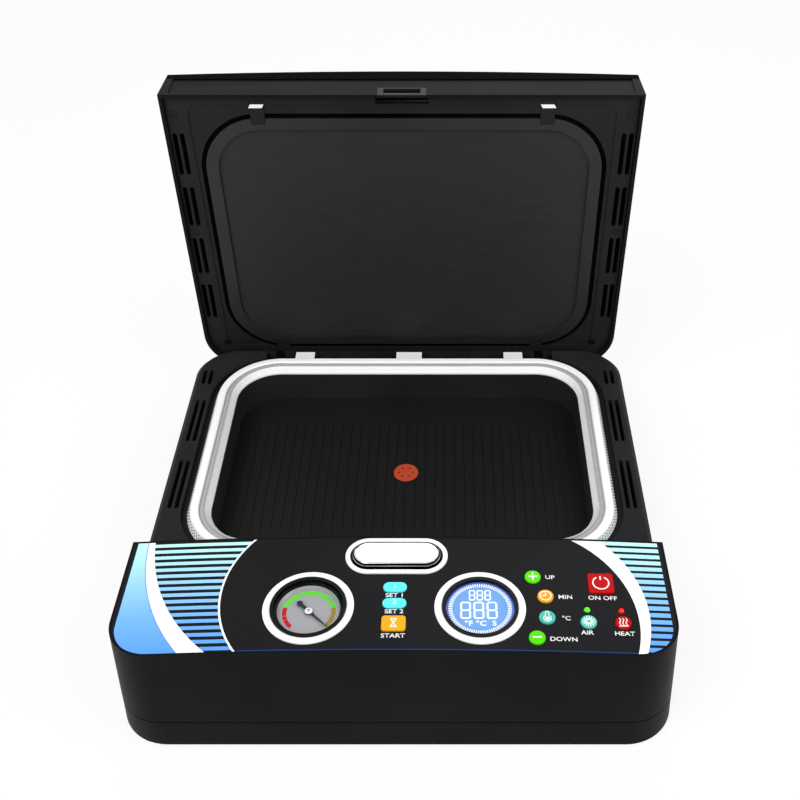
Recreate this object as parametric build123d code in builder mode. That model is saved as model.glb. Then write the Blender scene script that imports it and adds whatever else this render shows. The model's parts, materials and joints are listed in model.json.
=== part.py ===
"""Tabletop vacuum sublimation press: a low housing with a control module across the front, a
vacuum tray with a silicone seal behind it, and a heated lid hinged along the back edge.

Millimetres.  X runs to the operator's right, Y to the back and Z up.  The origin is on the table,
under the middle of the housing.  The lid is modelled closed and then turned to its open rest."""
from build123d import *
import os
from math import cos, radians, sin, sqrt, tan

os.makedirs("parts", exist_ok=True)

# ---------------------------------------------------------------- driving dimensions
# Housing
width = 340.0              # across the panel's top edge
depth = 337.0              # front to back at the height of the panel's side edges
deck_height = 53.0         # rear deck above the table
lid_height = 30.7          # panel's and lid's side edges above the deck
crown = 5.5                # rise of panel and lid from the sides to the middle
draft = 3.43               # degrees that the outer walls lean out towards the base
front_radius = 27.0
rear_radius = 30.0
wall = 2.5
foot_height = 2.0
foot_radius = 9.0
foot_inset_x, foot_inset_y = 22.0, 36.5
tub_height = 22.7          # lower shell
deck_bevel = 3.0
edge_round = 1.2
seam_groove = 0.8          # shadow line under the seam, as high as it is deep

# Control module across the front: dials, button and keys
dial_front = 33.0          # middle of gauge and display behind the front edge
dial_to_button = 40.9
button_back = 17.4         # middle of the button before the module's back
film = 0.5                 # printed film over the panel's skin
film_inset = 1.6
panel_skin = 2.5
dial_x = 51.5              # gauge at -dial_x, display at +dial_x
dial_radius = 20.6
rim_radius = 23.0
trim_radius = 27.4
trim_rise = 1.0
rim_rise = 2.0
button_length = 55.2
button_width = 20.4
button_rise = 4.0
button_travel = 3.5
well_wall = 0.9
key_gap = 0.4
key_rise = 0.9
key_travel = 0.8
lamp_radius = 2.1
board_drop = 13.7          # control board below the panel's side edges
board_thickness = 1.6

# Chamber: tray, mat and seal ring, all about one centre
front_ledge = 14.2         # deck before, beside and behind the seal
side_ledge = 18.7
rear_ledge = 12.5
tray_corner = 32.0
tray_wall = 1.3
tray_depth = 24.2          # inside the pan, from its flange down
flange_width = 15.0
mat_thickness = 1.2
mat_rib_pitch = 7.4
seal_foot = 1.5            # pan flange under the seal
ring_recess = 4.0          # step down from the deck to the seal's seat
ring_recess_margin = 4.2
deck_plate = 2.5
lip_height = 6.5           # seal lip above the pan's flange
lip_width = 5.8
groove_width = 3.9
inner_lip_width = 4.4
flank_spread = 3.0

# Hinge
open_angle = 87.0
hinge_inset = 7.3          # hinge line before the housing's back edge
hinge_drop = 12.0          # hinge line below the deck
arm_inset = 40.9           # lid's arms inboard of the seal's outer lip
arm_thickness = 6.0
arm_boss = 4.2
arm_half_y = 3.6           # the arms' edges rest on the notches when the lid is open
hinge_pin_radius = 2.0
channel_reach = 8.6        # hinge channel beyond each arm's middle
channel_drop = 8.0         # channel's floor below the hinge line
channel_wall = 2.0
bracket_plate = 2.4

# Lid
lid_gap = 0.6              # between the deck and the lid's rim
lid_side_step = 2.4        # lid's sides stand in from the housing's
lid_front_gap = 0.7        # between the lid and the module's back wall
lid_wall = 2.5
liner_recess = 3.7         # liner lies this far inside the rim
liner_thickness = 2.6
plate_recess = 0.8         # step around the membrane frame
seal_gap = 0.4             # between the closed membrane frame and the seal ring
frame_band = 9.0
frame_height = 3.4
frame_groove = 1.5
groove_ledge = 2.0         # rebate in the liner that widens the groove
membrane_thickness = 0.8
reflector_sheet = 0.8
element_radius = 4.0
element_count = 5
element_pitch = 36.0
insulation_thickness = 5.0
striker_half_x = 17.3
striker_height = 11.0

# Fits
screw_radius = 1.6
running_gap = 0.05         # radial clearance of a pin in its hole
slip = 0.3                 # clearance between parts that pass each other

# ---------------------------------------------------------------- derived places
half_x = width / 2
front_y = -depth / 2
rear_y = depth / 2
module_depth = dial_front + dial_to_button + button_back
module_back_y = front_y + module_depth
dial_y = front_y + dial_front
button_y = module_back_y - button_back
lip_total = lip_width + groove_width + inner_lip_width
tray_half_x = half_x - side_ledge - flank_spread - lip_total
tray_half_y = (depth - module_depth - front_ledge - rear_ledge) / 2 - flank_spread - lip_total
lip_half_x = tray_half_x + lip_total
lip_half_y = tray_half_y + lip_total
lip_corner = tray_corner + lip_total
chamber_y = rear_y - rear_ledge - flank_spread - lip_half_y
shell_z = foot_height
floor_z = shell_z + wall
seam_z = shell_z + tub_height
side_height = deck_height + lid_height
slope = tan(radians(draft))
top_z = side_height + crown
crown_radius = (width ** 2 / 4 + crown ** 2) / (2 * crown)
far = width + depth        # beyond every outer face
seat_z = deck_height - ring_recess
seal_z = seat_z + seal_foot
tray_floor_z = seat_z - tray_depth
hinge_y = rear_y - hinge_inset
hinge_z = deck_height - hinge_drop
arm_x = lip_half_x - arm_inset
lid_rim_z = deck_height + lid_gap
lid_front_y = module_back_y + lid_front_gap
liner_z = lid_rim_z + liner_recess
liner_top_z = liner_z + liner_thickness
frame_z = seal_z + lip_height + seal_gap
plate_z = liner_z + plate_recess
ceiling_drop = film + panel_skin
board_z = side_height - board_drop


def flare(z):
    """How far the outer walls stand out at height z from where they are at the panel's edges."""
    return slope * (side_height - z)


def panel_z(x, drop=0.0):
    """Height of the crowned panel at x, or of a surface that lies drop below it."""
    return top_z - drop - (crown_radius - sqrt(crown_radius ** 2 - x ** 2))


def plan(z, inset=0.0):
    """The housing's outline at height z, drawn in from its outer face by inset."""
    grow = flare(z) - inset
    with BuildSketch(Plane.XY.offset(z)) as outline:
        Rectangle(width + 2 * grow, depth + 2 * grow)
        fillet(outline.vertices().group_by(Axis.Y)[0], front_radius + grow)
        fillet(outline.vertices().group_by(Axis.Y)[-1], rear_radius + grow)
    return outline.sketch


def lid_plan(z, inset=0.0):
    """The lid's outline at height z; it runs on past the lid's front, where a plane cuts it."""
    grow = flare(z) - inset
    with BuildSketch(Plane.XY.offset(z)) as outline:
        Rectangle(width + 2 * (grow - lid_side_step), depth + 2 * grow)
        fillet(outline.vertices().group_by(Axis.Y)[-1], rear_radius + grow)
    return outline.sketch


def cut_at_crown(drop, side):
    """Cut away all above (side 1) or below (side -1) the crowned surface lowered by drop."""
    edge_z = panel_z(far, drop)
    with BuildSketch(Plane.XZ) as waste:
        with BuildLine():
            ThreePointArc((-far, edge_z), (0, panel_z(0, drop)), (far, edge_z))
            Polyline((far, edge_z), (far, 2 * side * far), (-far, 2 * side * far), (-far, edge_z))
        make_face()
    extrude(waste.sketch, amount=2 * far, both=True, mode=Mode.SUBTRACT)


def chamber_outline(z, grow):
    """Rounded rectangle about the chamber's centre, grown from the tray's inside."""
    with BuildSketch(Plane.XY.offset(z)) as outline:
        with Locations((0, chamber_y)):
            RectangleRounded(2 * (tray_half_x + grow), 2 * (tray_half_y + grow), tray_corner + grow)
    return outline.sketch


def block(x0, x1, y0, y1, z0, z1, mode=Mode.ADD):
    """A box between two corners."""
    with Locations(((x0 + x1) / 2, (y0 + y1) / 2, (z0 + z1) / 2)):
        Box(x1 - x0, y1 - y0, z1 - z0, mode=mode)


def post(x, y, z0, z1, radius, mode=Mode.ADD):
    """An upright cylinder from z0 to z1."""
    with Locations((x, y, (z0 + z1) / 2)):
        Cylinder(radius, z1 - z0, mode=mode)


def opened(shape):
    """Turn a closed-lid shape about the hinge to the lid's open rest."""
    return shape.rotate(Axis((0, hinge_y, hinge_z), (1, 0, 0)), -open_angle)


def save(part, name):
    part.label = name
    export_step(part, f"parts/{name}.step")


# ---------------------------------------------------------------- panel layout
vacuum_key_x = dial_x + 64.3
key_spacing = 20.6
keys = {                   # across from the middle, behind the dials' middle, cap
    "key_power": (vacuum_key_x + key_spacing / 2, 21.0, "square"),
    "key_preset_1": (0.0, 15.5, "pill"),
    "key_preset_2": (0.0, 3.0, "pill"),
    "key_timing": (0.0, -12.3, "plate"),
    "key_increase": (dial_x + 32.9, 24.9, "round"),
    "key_time": (dial_x + 39.8, 9.6, "round"),
    "key_temperature": (dial_x + 39.8, -6.6, "round"),
    "key_decrease": (dial_x + 32.9, -21.8, "round"),
    "key_vacuum": (vacuum_key_x, -9.3, "round"),
    "key_heating": (vacuum_key_x + key_spacing, -9.3, "round"),
}
keys = {name: (x, dial_y + behind, kind) for name, (x, behind, kind) in keys.items()}
key_sizes = {"round": (9.8, 9.8), "pill": (14.4, 7.4), "plate": (14.4, 11.2), "square": (15.8, 15.8)}
key_corner = 2.0
lamp_behind = 9.8          # each lamp behind the key that it belongs to
lamps = [(keys[name][0], keys[name][1] + lamp_behind) for name in ("key_vacuum", "key_heating")]


def key_face(kind, grow):
    """Outline of a key's cap, grown all round."""
    key_x, key_y = key_sizes[kind]
    if kind == "round":
        Circle(key_x / 2 + grow)
    elif kind == "pill":
        SlotOverall(key_x + 2 * grow, key_y + 2 * grow)
    else:
        RectangleRounded(key_x + 2 * grow, key_y + 2 * grow, key_corner + grow)


def panel_openings():
    """Every hole through the panel, as one sketch below it."""
    with BuildSketch(Plane.XY.offset(board_z + 8)) as holes:
        for x, y, kind in keys.values():
            with Locations((x, y)):
                key_face(kind, key_gap)
        with Locations(*lamps):
            Circle(lamp_radius + key_gap)
        with Locations((-dial_x, dial_y), (dial_x, dial_y)):
            Circle(dial_radius + key_gap)
        with Locations((0, button_y)):
            SlotOverall(well_length + key_gap, well_width + key_gap)
    return holes.sketch


well_length = button_length + 2 * (key_gap + well_wall)
well_width = button_width + 2 * (key_gap + well_wall)

# ---------------------------------------------------------------- lower shell
post_radius = 4.5
rear_post_x = tray_half_x + tray_wall + 11.5
rear_post_y = tray_half_y - 26.5
front_post_x = half_x - 70
front_post_y = front_y + 3.0
post_spots = [(-rear_post_x, chamber_y - rear_post_y), (rear_post_x, chamber_y - rear_post_y),
              (-rear_post_x, chamber_y + rear_post_y), (rear_post_x, chamber_y + rear_post_y),
              (-front_post_x, front_post_y), (front_post_x, front_post_y)]
head_radius = 3.2
head_height = 2.0
head_depth = 1.5
shank_top_z = seam_z + 14
board_x0, board_x1 = -16.0, keys["key_heating"][0] + 6.6
board_y0, board_y1 = dial_y - 27.5, dial_y + 32.0
board_boss_spots = [(-10, board_y0 + 5), (40, board_y0 + 4.5), (board_x1 - 4, board_y0 + 4.5),
                    (board_x1 - 4, board_y1 - 4.5)]
gland_x = 58 - half_x
gland_radius = 6.0
gland_z = floor_z + gland_radius + 3.1
gland_bore = 3.6
supply_size = (108.0, 60.0)
supply_spot = (half_x - 86, dial_y + 7.5)
supply_z = floor_z + 6.5
supply_post_spots = [(supply_spot[0] + i * (supply_size[0] / 2 - 6), supply_spot[1] + j * (supply_size[1] / 2 - 6))
                     for i in (-1, 1) for j in (-1, 1)]

with BuildPart() as lower_shell:
    extrude(plan(shell_z), amount=seam_z - shell_z, taper=draft)
    fillet(lower_shell.faces().sort_by(Axis.Z)[0].edges(), edge_round)
    extrude(plan(shell_z + wall, wall), amount=seam_z - shell_z, taper=draft, mode=Mode.SUBTRACT)
    groove_z = seam_z - seam_groove
    extrude(plan(groove_z, -wall) - plan(groove_z, seam_groove), amount=seam_groove, mode=Mode.SUBTRACT)
    for x, y in post_spots:
        post(x, y, shell_z + wall / 2, seam_z, post_radius)
        post(x, y, shell_z - 1, shell_z + head_depth + head_height, head_radius + slip, Mode.SUBTRACT)
        post(x, y, shell_z, seam_z + 1, screw_radius + 0.1, Mode.SUBTRACT)
    for x, y in supply_post_spots:
        post(x, y, shell_z + wall / 2, supply_z, 3.0)
    with BuildSketch(Plane.XZ.offset(4 * wall - rear_y)):
        with Locations((gland_x, gland_z)):
            Circle(gland_radius + 0.2)
    extrude(amount=-12 * wall, mode=Mode.SUBTRACT)
save(lower_shell.part, "lower_shell")

# ---------------------------------------------------------------- module shell and deck
slot_width = 3.0
slot_insets = [10.7, 5.7]  # vent slots in from the housing's sides
deck_slots = [(86.5, 18.0), (33.0, 49.0), (-37.5, 50.0)]    # behind the chamber's middle, length
notch_half_x = arm_thickness / 2 + 0.9
channel_x = arm_x + channel_reach
channel_y = chamber_y + lip_half_y + flank_spread + slip
channel_z = hinge_z - channel_drop
nose_rise = 3.9            # latch's nose above the lid's rim
nose_z = lid_rim_z + nose_rise
nose_height = 4.0
nose_half_x = 9.0
latch_drop = 13.5          # latch's pivot below its nose
latch_z = nose_z - latch_drop
latch_y = module_back_y - 8.3
well_drop = 15.7           # button well's underside below the panel's side edges
well_floor_z = side_height - well_drop
boss_radius = 2.5

with BuildPart() as shell_block:
    extrude(plan(seam_z), amount=top_z - seam_z + 1, taper=draft)
    cut_at_crown(0, 1)

with BuildPart() as film_pocket:
    with BuildSketch(Plane.XY.offset(side_height - 6)) as film_area:
        with Locations((0, (front_y + module_back_y) / 2)):
            Rectangle(width - 2 * film_inset, module_depth - 2 * film_inset)
        fillet(film_area.vertices().group_by(Axis.Y)[0], front_radius - film_inset)
        fillet(film_area.vertices().group_by(Axis.Y)[-1], 2)
    extrude(amount=2 * crown + 6)
    cut_at_crown(film, -1)

with BuildPart() as module_cavity:
    extrude(plan(seam_z, wall), amount=top_z - seam_z, taper=draft)
    cut_at_crown(ceiling_drop, 1)
    split(bisect_by=Plane.XZ.offset(wall - module_back_y), keep=Keep.TOP)

with BuildPart() as module_shell:
    add(shell_block.part)
    split(bisect_by=Plane.XZ.offset(-module_back_y), keep=Keep.TOP)
    add(module_cavity.part, mode=Mode.SUBTRACT)
    # recess for the printed film, and the holes through the panel
    add(film_pocket.part, mode=Mode.SUBTRACT)
    extrude(panel_openings(), amount=30, mode=Mode.SUBTRACT)
    # slot for the latch's nose
    block(-nose_half_x - 1, nose_half_x + 1, module_back_y - 2 * wall, module_back_y + wall,
          nose_z - 1, nose_z + nose_height + 4.5, Mode.SUBTRACT)
    # screw posts on the front wall, and bosses that carry the control board
    for x, y in post_spots[4:]:
        post(x, y, seam_z, shank_top_z + 5, post_radius)
        post(x, y, seam_z - 1, shank_top_z + 1, screw_radius - 0.1, Mode.SUBTRACT)
    for x, y in board_boss_spots:
        post(x, y, board_z, panel_z(x, ceiling_drop) + 1, boss_radius)
save(module_shell.part, "module_shell")

with BuildPart() as deck_frame:
    add(shell_block.part)
    split(bisect_by=Plane.XZ.offset(-module_back_y), keep=Keep.BOTTOM)
    block(-far, far, -far, far, deck_height, 2 * top_z, Mode.SUBTRACT)
    deck_edges = deck_frame.faces().filter_by(Plane.XY).sort_by(Axis.Z)[-1].edges()
    chamfer(deck_edges.filter_by(lambda e: e.center().Y > module_back_y + 0.1), deck_bevel)
    # hollow inside, with the deck's plate left on top
    extrude(plan(seam_z, wall), amount=seat_z - deck_plate - seam_z, taper=draft, mode=Mode.SUBTRACT)
    # step for the seal, opening for the pan and opening for the hinge channel
    extrude(chamber_outline(seat_z, lip_total + flank_spread + ring_recess_margin),
            amount=ring_recess + 1, mode=Mode.SUBTRACT)
    extrude(chamber_outline(seat_z - deck_plate - 1, tray_wall + 0.6),
            amount=deck_plate + 2, mode=Mode.SUBTRACT)
    block(-channel_x - channel_wall, channel_x + channel_wall, channel_y - channel_wall,
          rear_y + flare(deck_height) - wall, channel_z, deck_height + 1, Mode.SUBTRACT)
    for side in (-1, 1):
        block(side * arm_x - notch_half_x, side * arm_x + notch_half_x, rear_y - 4 * wall, rear_y + 4 * wall,
              hinge_z - arm_half_y + 0.1, deck_height + 1, Mode.SUBTRACT)
    # vent slots in the two side ledges
    for slot_behind, slot_length in deck_slots:
        for slot_inset in slot_insets:
            with BuildSketch(Plane.XY.offset(seat_z - deck_plate - 1)):
                with Locations((slot_inset - half_x, chamber_y + slot_behind),
                               (half_x - slot_inset, chamber_y + slot_behind)):
                    SlotOverall(slot_length, slot_width, rotation=90)
            extrude(amount=ring_recess + deck_plate + 2, mode=Mode.SUBTRACT)
    for x, y in post_spots[:4]:
        post(x, y, seam_z, seat_z - 1, post_radius)
        post(x, y, seam_z - 1, shank_top_z + 1, screw_radius - 0.1, Mode.SUBTRACT)
save(deck_frame.part, "deck_frame")

channel_back_y = rear_y + flare(deck_height) - wall - 0.1
plate_under_z = seat_z - deck_plate
with BuildPart() as hinge_channel:
    block(-channel_x - channel_wall, channel_x + channel_wall, channel_y - channel_wall,
          channel_back_y, channel_z - channel_wall, seat_z)
    # flange glued under the deck's plate
    block(-channel_x - 3 * channel_wall, channel_x + 3 * channel_wall, channel_y - 3 * channel_wall,
          channel_back_y, plate_under_z - channel_wall, plate_under_z)
    block(-channel_x, channel_x, channel_y, rear_y + 4 * wall, channel_z, seat_z + 1, Mode.SUBTRACT)
save(hinge_channel.part, "hinge_channel")

with BuildPart() as panel_film:
    add(film_pocket.part)
    cut_at_crown(0, 1)
    extrude(panel_openings(), amount=30, mode=Mode.SUBTRACT)
save(panel_film.part, "panel_film")

# ---------------------------------------------------------------- feet, screws, cord gland
with BuildPart() as feet:
    for x in (foot_inset_x - half_x, half_x - foot_inset_x):
        for y in (front_y + foot_inset_y, rear_y - foot_inset_y):
            post(x, y, 0, foot_height, foot_radius)
save(feet.part, "feet")

with BuildPart() as base_screws:
    for x, y in post_spots:
        post(x, y, shell_z + head_depth, shell_z + head_depth + head_height, head_radius)
        post(x, y, shell_z + head_depth, shank_top_z, screw_radius - 0.15)
save(base_screws.part, "base_screws")

gland_face_y = rear_y + flare(gland_z - gland_radius - 2)
with BuildPart() as cord_gland:
    with BuildSketch(Plane.XZ.offset(-gland_face_y)):
        with Locations((gland_x, gland_z)):
            Circle(gland_radius + 2)
    extrude(amount=-2.5)
    with BuildSketch(Plane.XZ.offset(-gland_face_y)):
        with Locations((gland_x, gland_z)):
            Circle(gland_radius)
    extrude(amount=wall + 4)
    with BuildSketch(Plane.XZ.offset(-gland_face_y - 5)):
        with Locations((gland_x, gland_z)):
            Circle(gland_bore)
    extrude(amount=20, mode=Mode.SUBTRACT)
save(cord_gland.part, "cord_gland")

# ---------------------------------------------------------------- chamber
port_y = chamber_y + 2.5
port_radius = 9.4
port_bore = 2.0
with BuildPart() as tray:
    extrude(chamber_outline(tray_floor_z - tray_wall, tray_wall), amount=seal_z - tray_floor_z + tray_wall)
    extrude(chamber_outline(seat_z, flange_width), amount=seal_foot)
    extrude(chamber_outline(tray_floor_z, 0), amount=seal_z, mode=Mode.SUBTRACT)
    post(0, port_y, 0, tray_floor_z + 1, port_bore + 1, Mode.SUBTRACT)
save(tray.part, "tray")

mat_top_z = tray_floor_z + mat_thickness
rib_count = int((tray_half_x - 6) / mat_rib_pitch)
with BuildPart() as tray_mat:
    extrude(chamber_outline(tray_floor_z, -slip), amount=mat_thickness)
    for i in range(-rib_count, rib_count + 1):
        block(i * mat_rib_pitch - 0.4, i * mat_rib_pitch + 0.4, chamber_y - tray_half_y + tray_corner,
              chamber_y + tray_half_y - tray_corner, mat_top_z - 0.5, mat_top_z, Mode.SUBTRACT)
    post(0, port_y, 0, 2 * mat_top_z, port_radius + slip, Mode.SUBTRACT)
save(tray_mat.part, "tray_mat")

with BuildPart() as vacuum_port:
    post(0, port_y, tray_floor_z, mat_top_z + 0.6, port_radius)
    fillet(vacuum_port.faces().sort_by(Axis.Z)[-1].edges(), 0.5)
    with Locations((0, port_y, 0)):
        with PolarLocations(port_radius * 0.55, 6):
            Cylinder(0.9, 4 * mat_top_z, mode=Mode.SUBTRACT)
save(vacuum_port.part, "vacuum_port")

nipple_radius = 2.5
hose_radius = 4.2
hose_z = (floor_z + tray_floor_z - tray_wall) / 2
with BuildPart() as port_fitting:
    post(0, port_y, tray_floor_z - tray_wall - 4, tray_floor_z - tray_wall, 8.0)
    post(0, port_y, hose_z - 4.5, tray_floor_z - tray_wall, 5.0)
    with BuildSketch(Plane.XZ.offset(-port_y)):
        with Locations((0, hose_z)):
            Circle(nipple_radius)
    extrude(amount=16)
    post(0, port_y, hose_z, tray_floor_z, port_bore, Mode.SUBTRACT)
save(port_fitting.part, "port_fitting")

seal_top_z = seal_z + lip_height
groove_depth = 2.4
with BuildPart() as seal_ring:
    with BuildLine() as seal_path:
        near_x, near_y = lip_half_x - lip_corner, lip_half_y - lip_corner
        Line((lip_half_x, chamber_y), (lip_half_x, chamber_y + near_y))
        CenterArc((near_x, chamber_y + near_y), lip_corner, 0, 90)
        Line((near_x, chamber_y + lip_half_y), (-near_x, chamber_y + lip_half_y))
        CenterArc((-near_x, chamber_y + near_y), lip_corner, 90, 90)
        Line((-lip_half_x, chamber_y + near_y), (-lip_half_x, chamber_y - near_y))
        CenterArc((-near_x, chamber_y - near_y), lip_corner, 180, 90)
        Line((-near_x, chamber_y - lip_half_y), (near_x, chamber_y - lip_half_y))
        CenterArc((near_x, chamber_y - near_y), lip_corner, 270, 90)
        Line((lip_half_x, chamber_y - near_y), (lip_half_x, chamber_y))
    with BuildSketch(Plane.XZ.offset(-chamber_y)) as seal_section:
        outer = lip_half_x
        inner = outer - lip_width
        with BuildLine():
            Polyline((outer + flank_spread, seal_z), (outer + 0.3, seal_top_z - 1.2))
            ThreePointArc((outer + 0.3, seal_top_z - 1.2), (outer - 0.5, seal_top_z - 0.35),
                          (outer - 1.5, seal_top_z))
            Line((outer - 1.5, seal_top_z), (inner + 1.5, seal_top_z))
            ThreePointArc((inner + 1.5, seal_top_z), (inner + 0.4, seal_top_z - 0.4),
                          (inner, seal_top_z - 1.4))
            Polyline((inner, seal_top_z - 1.4), (inner, seal_top_z - groove_depth),
                     (inner - groove_width, seal_top_z - groove_depth),
                     (inner - groove_width, seal_top_z - 0.9), (inner - groove_width - 0.9, seal_top_z - 0.6),
                     (tray_half_x + 0.4, seal_z + 1.2), (tray_half_x + 0.4, seal_z),
                     (outer + flank_spread, seal_z))
        make_face()
    sweep(path=seal_path.wires()[0])
    # three pull tabs on the back edge
    for tab_x, tab_width in ((21.9 - arm_x, 15.4), (0, 20.8), (arm_x - 21.9, 15.4)):
        block(tab_x - tab_width / 2, tab_x + tab_width / 2, chamber_y + lip_half_y + 0.2, hinge_y + 2.2,
              seal_top_z - 3.9, seal_top_z - 2.1)
save(seal_ring.part, "seal_ring")

# ---------------------------------------------------------------- pump, hoses and boards
pump_y = dial_y
motor_radius = 16.0
motor_length = 60.0
head_half = 18.0
head_half_z = 17.0
motor_z = floor_z + head_half_z + 4.5
head_x0, head_x1 = -dial_x - head_half, -dial_x + head_half
with BuildPart() as pump_motor:
    with BuildSketch(Plane.YZ.offset(head_x0 - motor_length)):
        with Locations((pump_y, motor_z)):
            Circle(motor_radius)
    extrude(amount=motor_length)
    fillet(pump_motor.edges().filter_by(GeomType.CIRCLE).sort_by(Axis.X)[0], 1.5)
save(pump_motor.part, "pump_motor")

with BuildPart() as pump_head:
    block(head_x0, head_x1, pump_y - head_half, pump_y + head_half, motor_z - head_half_z,
          motor_z + head_half_z)
    fillet(pump_head.edges().filter_by(Axis.X), 4)
    post(-dial_x, pump_y, motor_z + head_half_z - 1, motor_z + head_half_z + 10, nipple_radius)
    with BuildSketch(Plane.YZ.offset(head_x1)):
        with Locations((pump_y + 12, hose_z)):
            Circle(nipple_radius)
    extrude(amount=10)
save(pump_head.part, "pump_head")

with BuildPart() as pump_mount:
    block(head_x0 - motor_length + 6, head_x1 - 4, pump_y - 15, pump_y + 15, floor_z, motor_z - 6)
    block(head_x0, head_x1, pump_y - head_half, pump_y + head_half, motor_z - head_half_z,
          motor_z + head_half_z, Mode.SUBTRACT)
    with BuildSketch(Plane.YZ.offset(head_x0 - motor_length)):
        with Locations((pump_y, motor_z)):
            Circle(motor_radius)
    extrude(amount=motor_length, mode=Mode.SUBTRACT)
save(pump_mount.part, "pump_mount")

hose_start = (head_x1 + 2, pump_y + 12)
with BuildPart() as vacuum_hose:
    with BuildLine(Plane.XY.offset(hose_z)) as hose_route:
        FilletPolyline(hose_start, (0, hose_start[1]), (0, port_y - 9), radius=18)
    with BuildSketch(Plane(origin=(hose_start[0], hose_start[1], hose_z), z_dir=(1, 0, 0))):
        Circle(hose_radius)
        Circle(nipple_radius + 0.1, mode=Mode.SUBTRACT)
    sweep(path=hose_route.wires()[0])
save(vacuum_hose.part, "vacuum_hose")

gauge_back_z = side_height - 19.7
with BuildPart() as gauge_hose:
    post(-dial_x, dial_y, motor_z + head_half_z + 2, gauge_back_z - 1, hose_radius)
    post(-dial_x, dial_y, 0, 2 * top_z, nipple_radius + 0.1, Mode.SUBTRACT)
save(gauge_hose.part, "gauge_hose")

switch_side = 6.0
switch_height = 4.2
with BuildPart() as control_board:
    block(board_x0, board_x1, board_y0, board_y1, board_z - board_thickness, board_z)
    block(board_x0 - 1, well_length / 2 + 3, button_y - well_width / 2 - 2, 0,
          board_z - 5, board_z + 1, Mode.SUBTRACT)
    block(10, 26, board_y0 + 2, board_y0 + 12, board_z - board_thickness - 3, board_z - board_thickness)
    block(60, 74, dial_y + 7.5, dial_y + 21.5, board_z - board_thickness - 2, board_z - board_thickness)
    block(100, 118, dial_y + 7.5, dial_y + 15.5, board_z - board_thickness - 9, board_z - board_thickness)
save(control_board.part, "control_board")

with BuildPart() as key_switches:
    for x, y, kind in keys.values():
        block(x - switch_side / 2, x + switch_side / 2, y - switch_side / 2, y + switch_side / 2,
              board_z, board_z + switch_height - 0.8)
        post(x, y, board_z, board_z + switch_height, 1.7)
save(key_switches.part, "key_switches")

supply_x0, supply_y0 = supply_spot[0] - supply_size[0] / 2, supply_spot[1] - supply_size[1] / 2
with BuildPart() as power_supply:
    block(supply_x0, supply_x0 + supply_size[0], supply_y0, supply_y0 + supply_size[1], supply_z, supply_z + 1.6)
    block(supply_x0 + 10, supply_x0 + 48, supply_y0 + 8, supply_y0 + 44, supply_z, supply_z + 30)
    block(supply_x0 + 88, supply_x0 + 91, supply_y0 + 8, supply_y0 + 52, supply_z, supply_z + 26)
    for fin in range(5):
        block(supply_x0 + 91, supply_x0 + 101, supply_y0 + 8 + 10 * fin, supply_y0 + 10 + 10 * fin,
              supply_z, supply_z + 26)
    post(supply_x0 + 66, supply_y0 + 22, supply_z, supply_z + 28, 9)
    post(supply_x0 + 66, supply_y0 + 44, supply_z, supply_z + 20, 6)
save(power_supply.part, "power_supply")

# ---------------------------------------------------------------- gauge and display
dial_top = panel_z(dial_x)
case_top_z = dial_top - 0.6
dial_z = case_top_z - 3.6
flange_top_z = panel_z(dial_x + rim_radius, ceiling_drop) - 0.2
with BuildPart() as gauge_case:
    post(-dial_x, dial_y, gauge_back_z, case_top_z, dial_radius)
    post(-dial_x, dial_y, flange_top_z - 2, flange_top_z, rim_radius)
    post(-dial_x, dial_y, gauge_back_z + 1.5, case_top_z + 1, dial_radius - 3, Mode.SUBTRACT)
    post(-dial_x, dial_y, dial_z - 1, case_top_z + 1, dial_radius - 1.2, Mode.SUBTRACT)
    post(-dial_x, dial_y, gauge_back_z - 11, gauge_back_z + 2, nipple_radius)
    post(-dial_x, dial_y, gauge_back_z, dial_z - 2, 8)
    post(-dial_x, dial_y, gauge_back_z, dial_z + 2.2, 0.6)
save(gauge_case.part, "gauge_case")

with BuildPart() as gauge_dial:
    post(-dial_x, dial_y, dial_z - 1, dial_z, dial_radius - 1.3)
    post(-dial_x, dial_y, dial_z - 2, dial_z + 1, 1.0, Mode.SUBTRACT)
save(gauge_dial.part, "gauge_dial")

needle_length = 16.3
needle_tail = 8.4
needle_rest = -45.0        # degrees, towards the front right
with BuildPart() as gauge_needle:
    with BuildSketch(Plane(origin=(-dial_x, dial_y, dial_z + 0.9),
                           x_dir=(cos(radians(needle_rest)), sin(radians(needle_rest)), 0))):
        with BuildLine():
            Polyline((-needle_tail, -1.0), (0, -0.9), (needle_length, -0.2), (needle_length, 0.2),
                     (0, 0.9), (-needle_tail, 1.0), close=True)
        make_face()
        with Locations((-needle_tail, 0)):
            Circle(1.9)
        Circle(2.6)
    extrude(amount=0.7)
    with Locations((-dial_x, dial_y, 0)):
        Cylinder(0.6 + running_gap, 4 * top_z, mode=Mode.SUBTRACT)
save(gauge_needle.part, "gauge_needle")

lens_thickness = 1.4
with BuildPart() as gauge_lens:
    post(-dial_x, dial_y, case_top_z, case_top_z + lens_thickness, dial_radius - 0.1)
save(gauge_lens.part, "gauge_lens")

with BuildPart() as display_module:
    post(dial_x, dial_y, dial_top - 9, case_top_z, dial_radius)
    post(dial_x, dial_y, flange_top_z - 2, flange_top_z, rim_radius)
    post(dial_x, dial_y, board_z, dial_top - 8, 16)
save(display_module.part, "display_module")

with BuildPart() as display_lens:
    post(dial_x, dial_y, case_top_z, case_top_z + lens_thickness, dial_radius - 0.1)
save(display_lens.part, "display_lens")

with BuildPart() as bezel_rims:
    for x in (-dial_x, dial_x):
        post(x, dial_y, dial_top - 6, dial_top + 6, rim_radius)
        post(x, dial_y, dial_top - 8, dial_top + 8, dial_radius + 0.2, Mode.SUBTRACT)
    cut_at_crown(-rim_rise, 1)
    cut_at_crown(0, -1)
save(bezel_rims.part, "bezel_rims")

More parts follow.
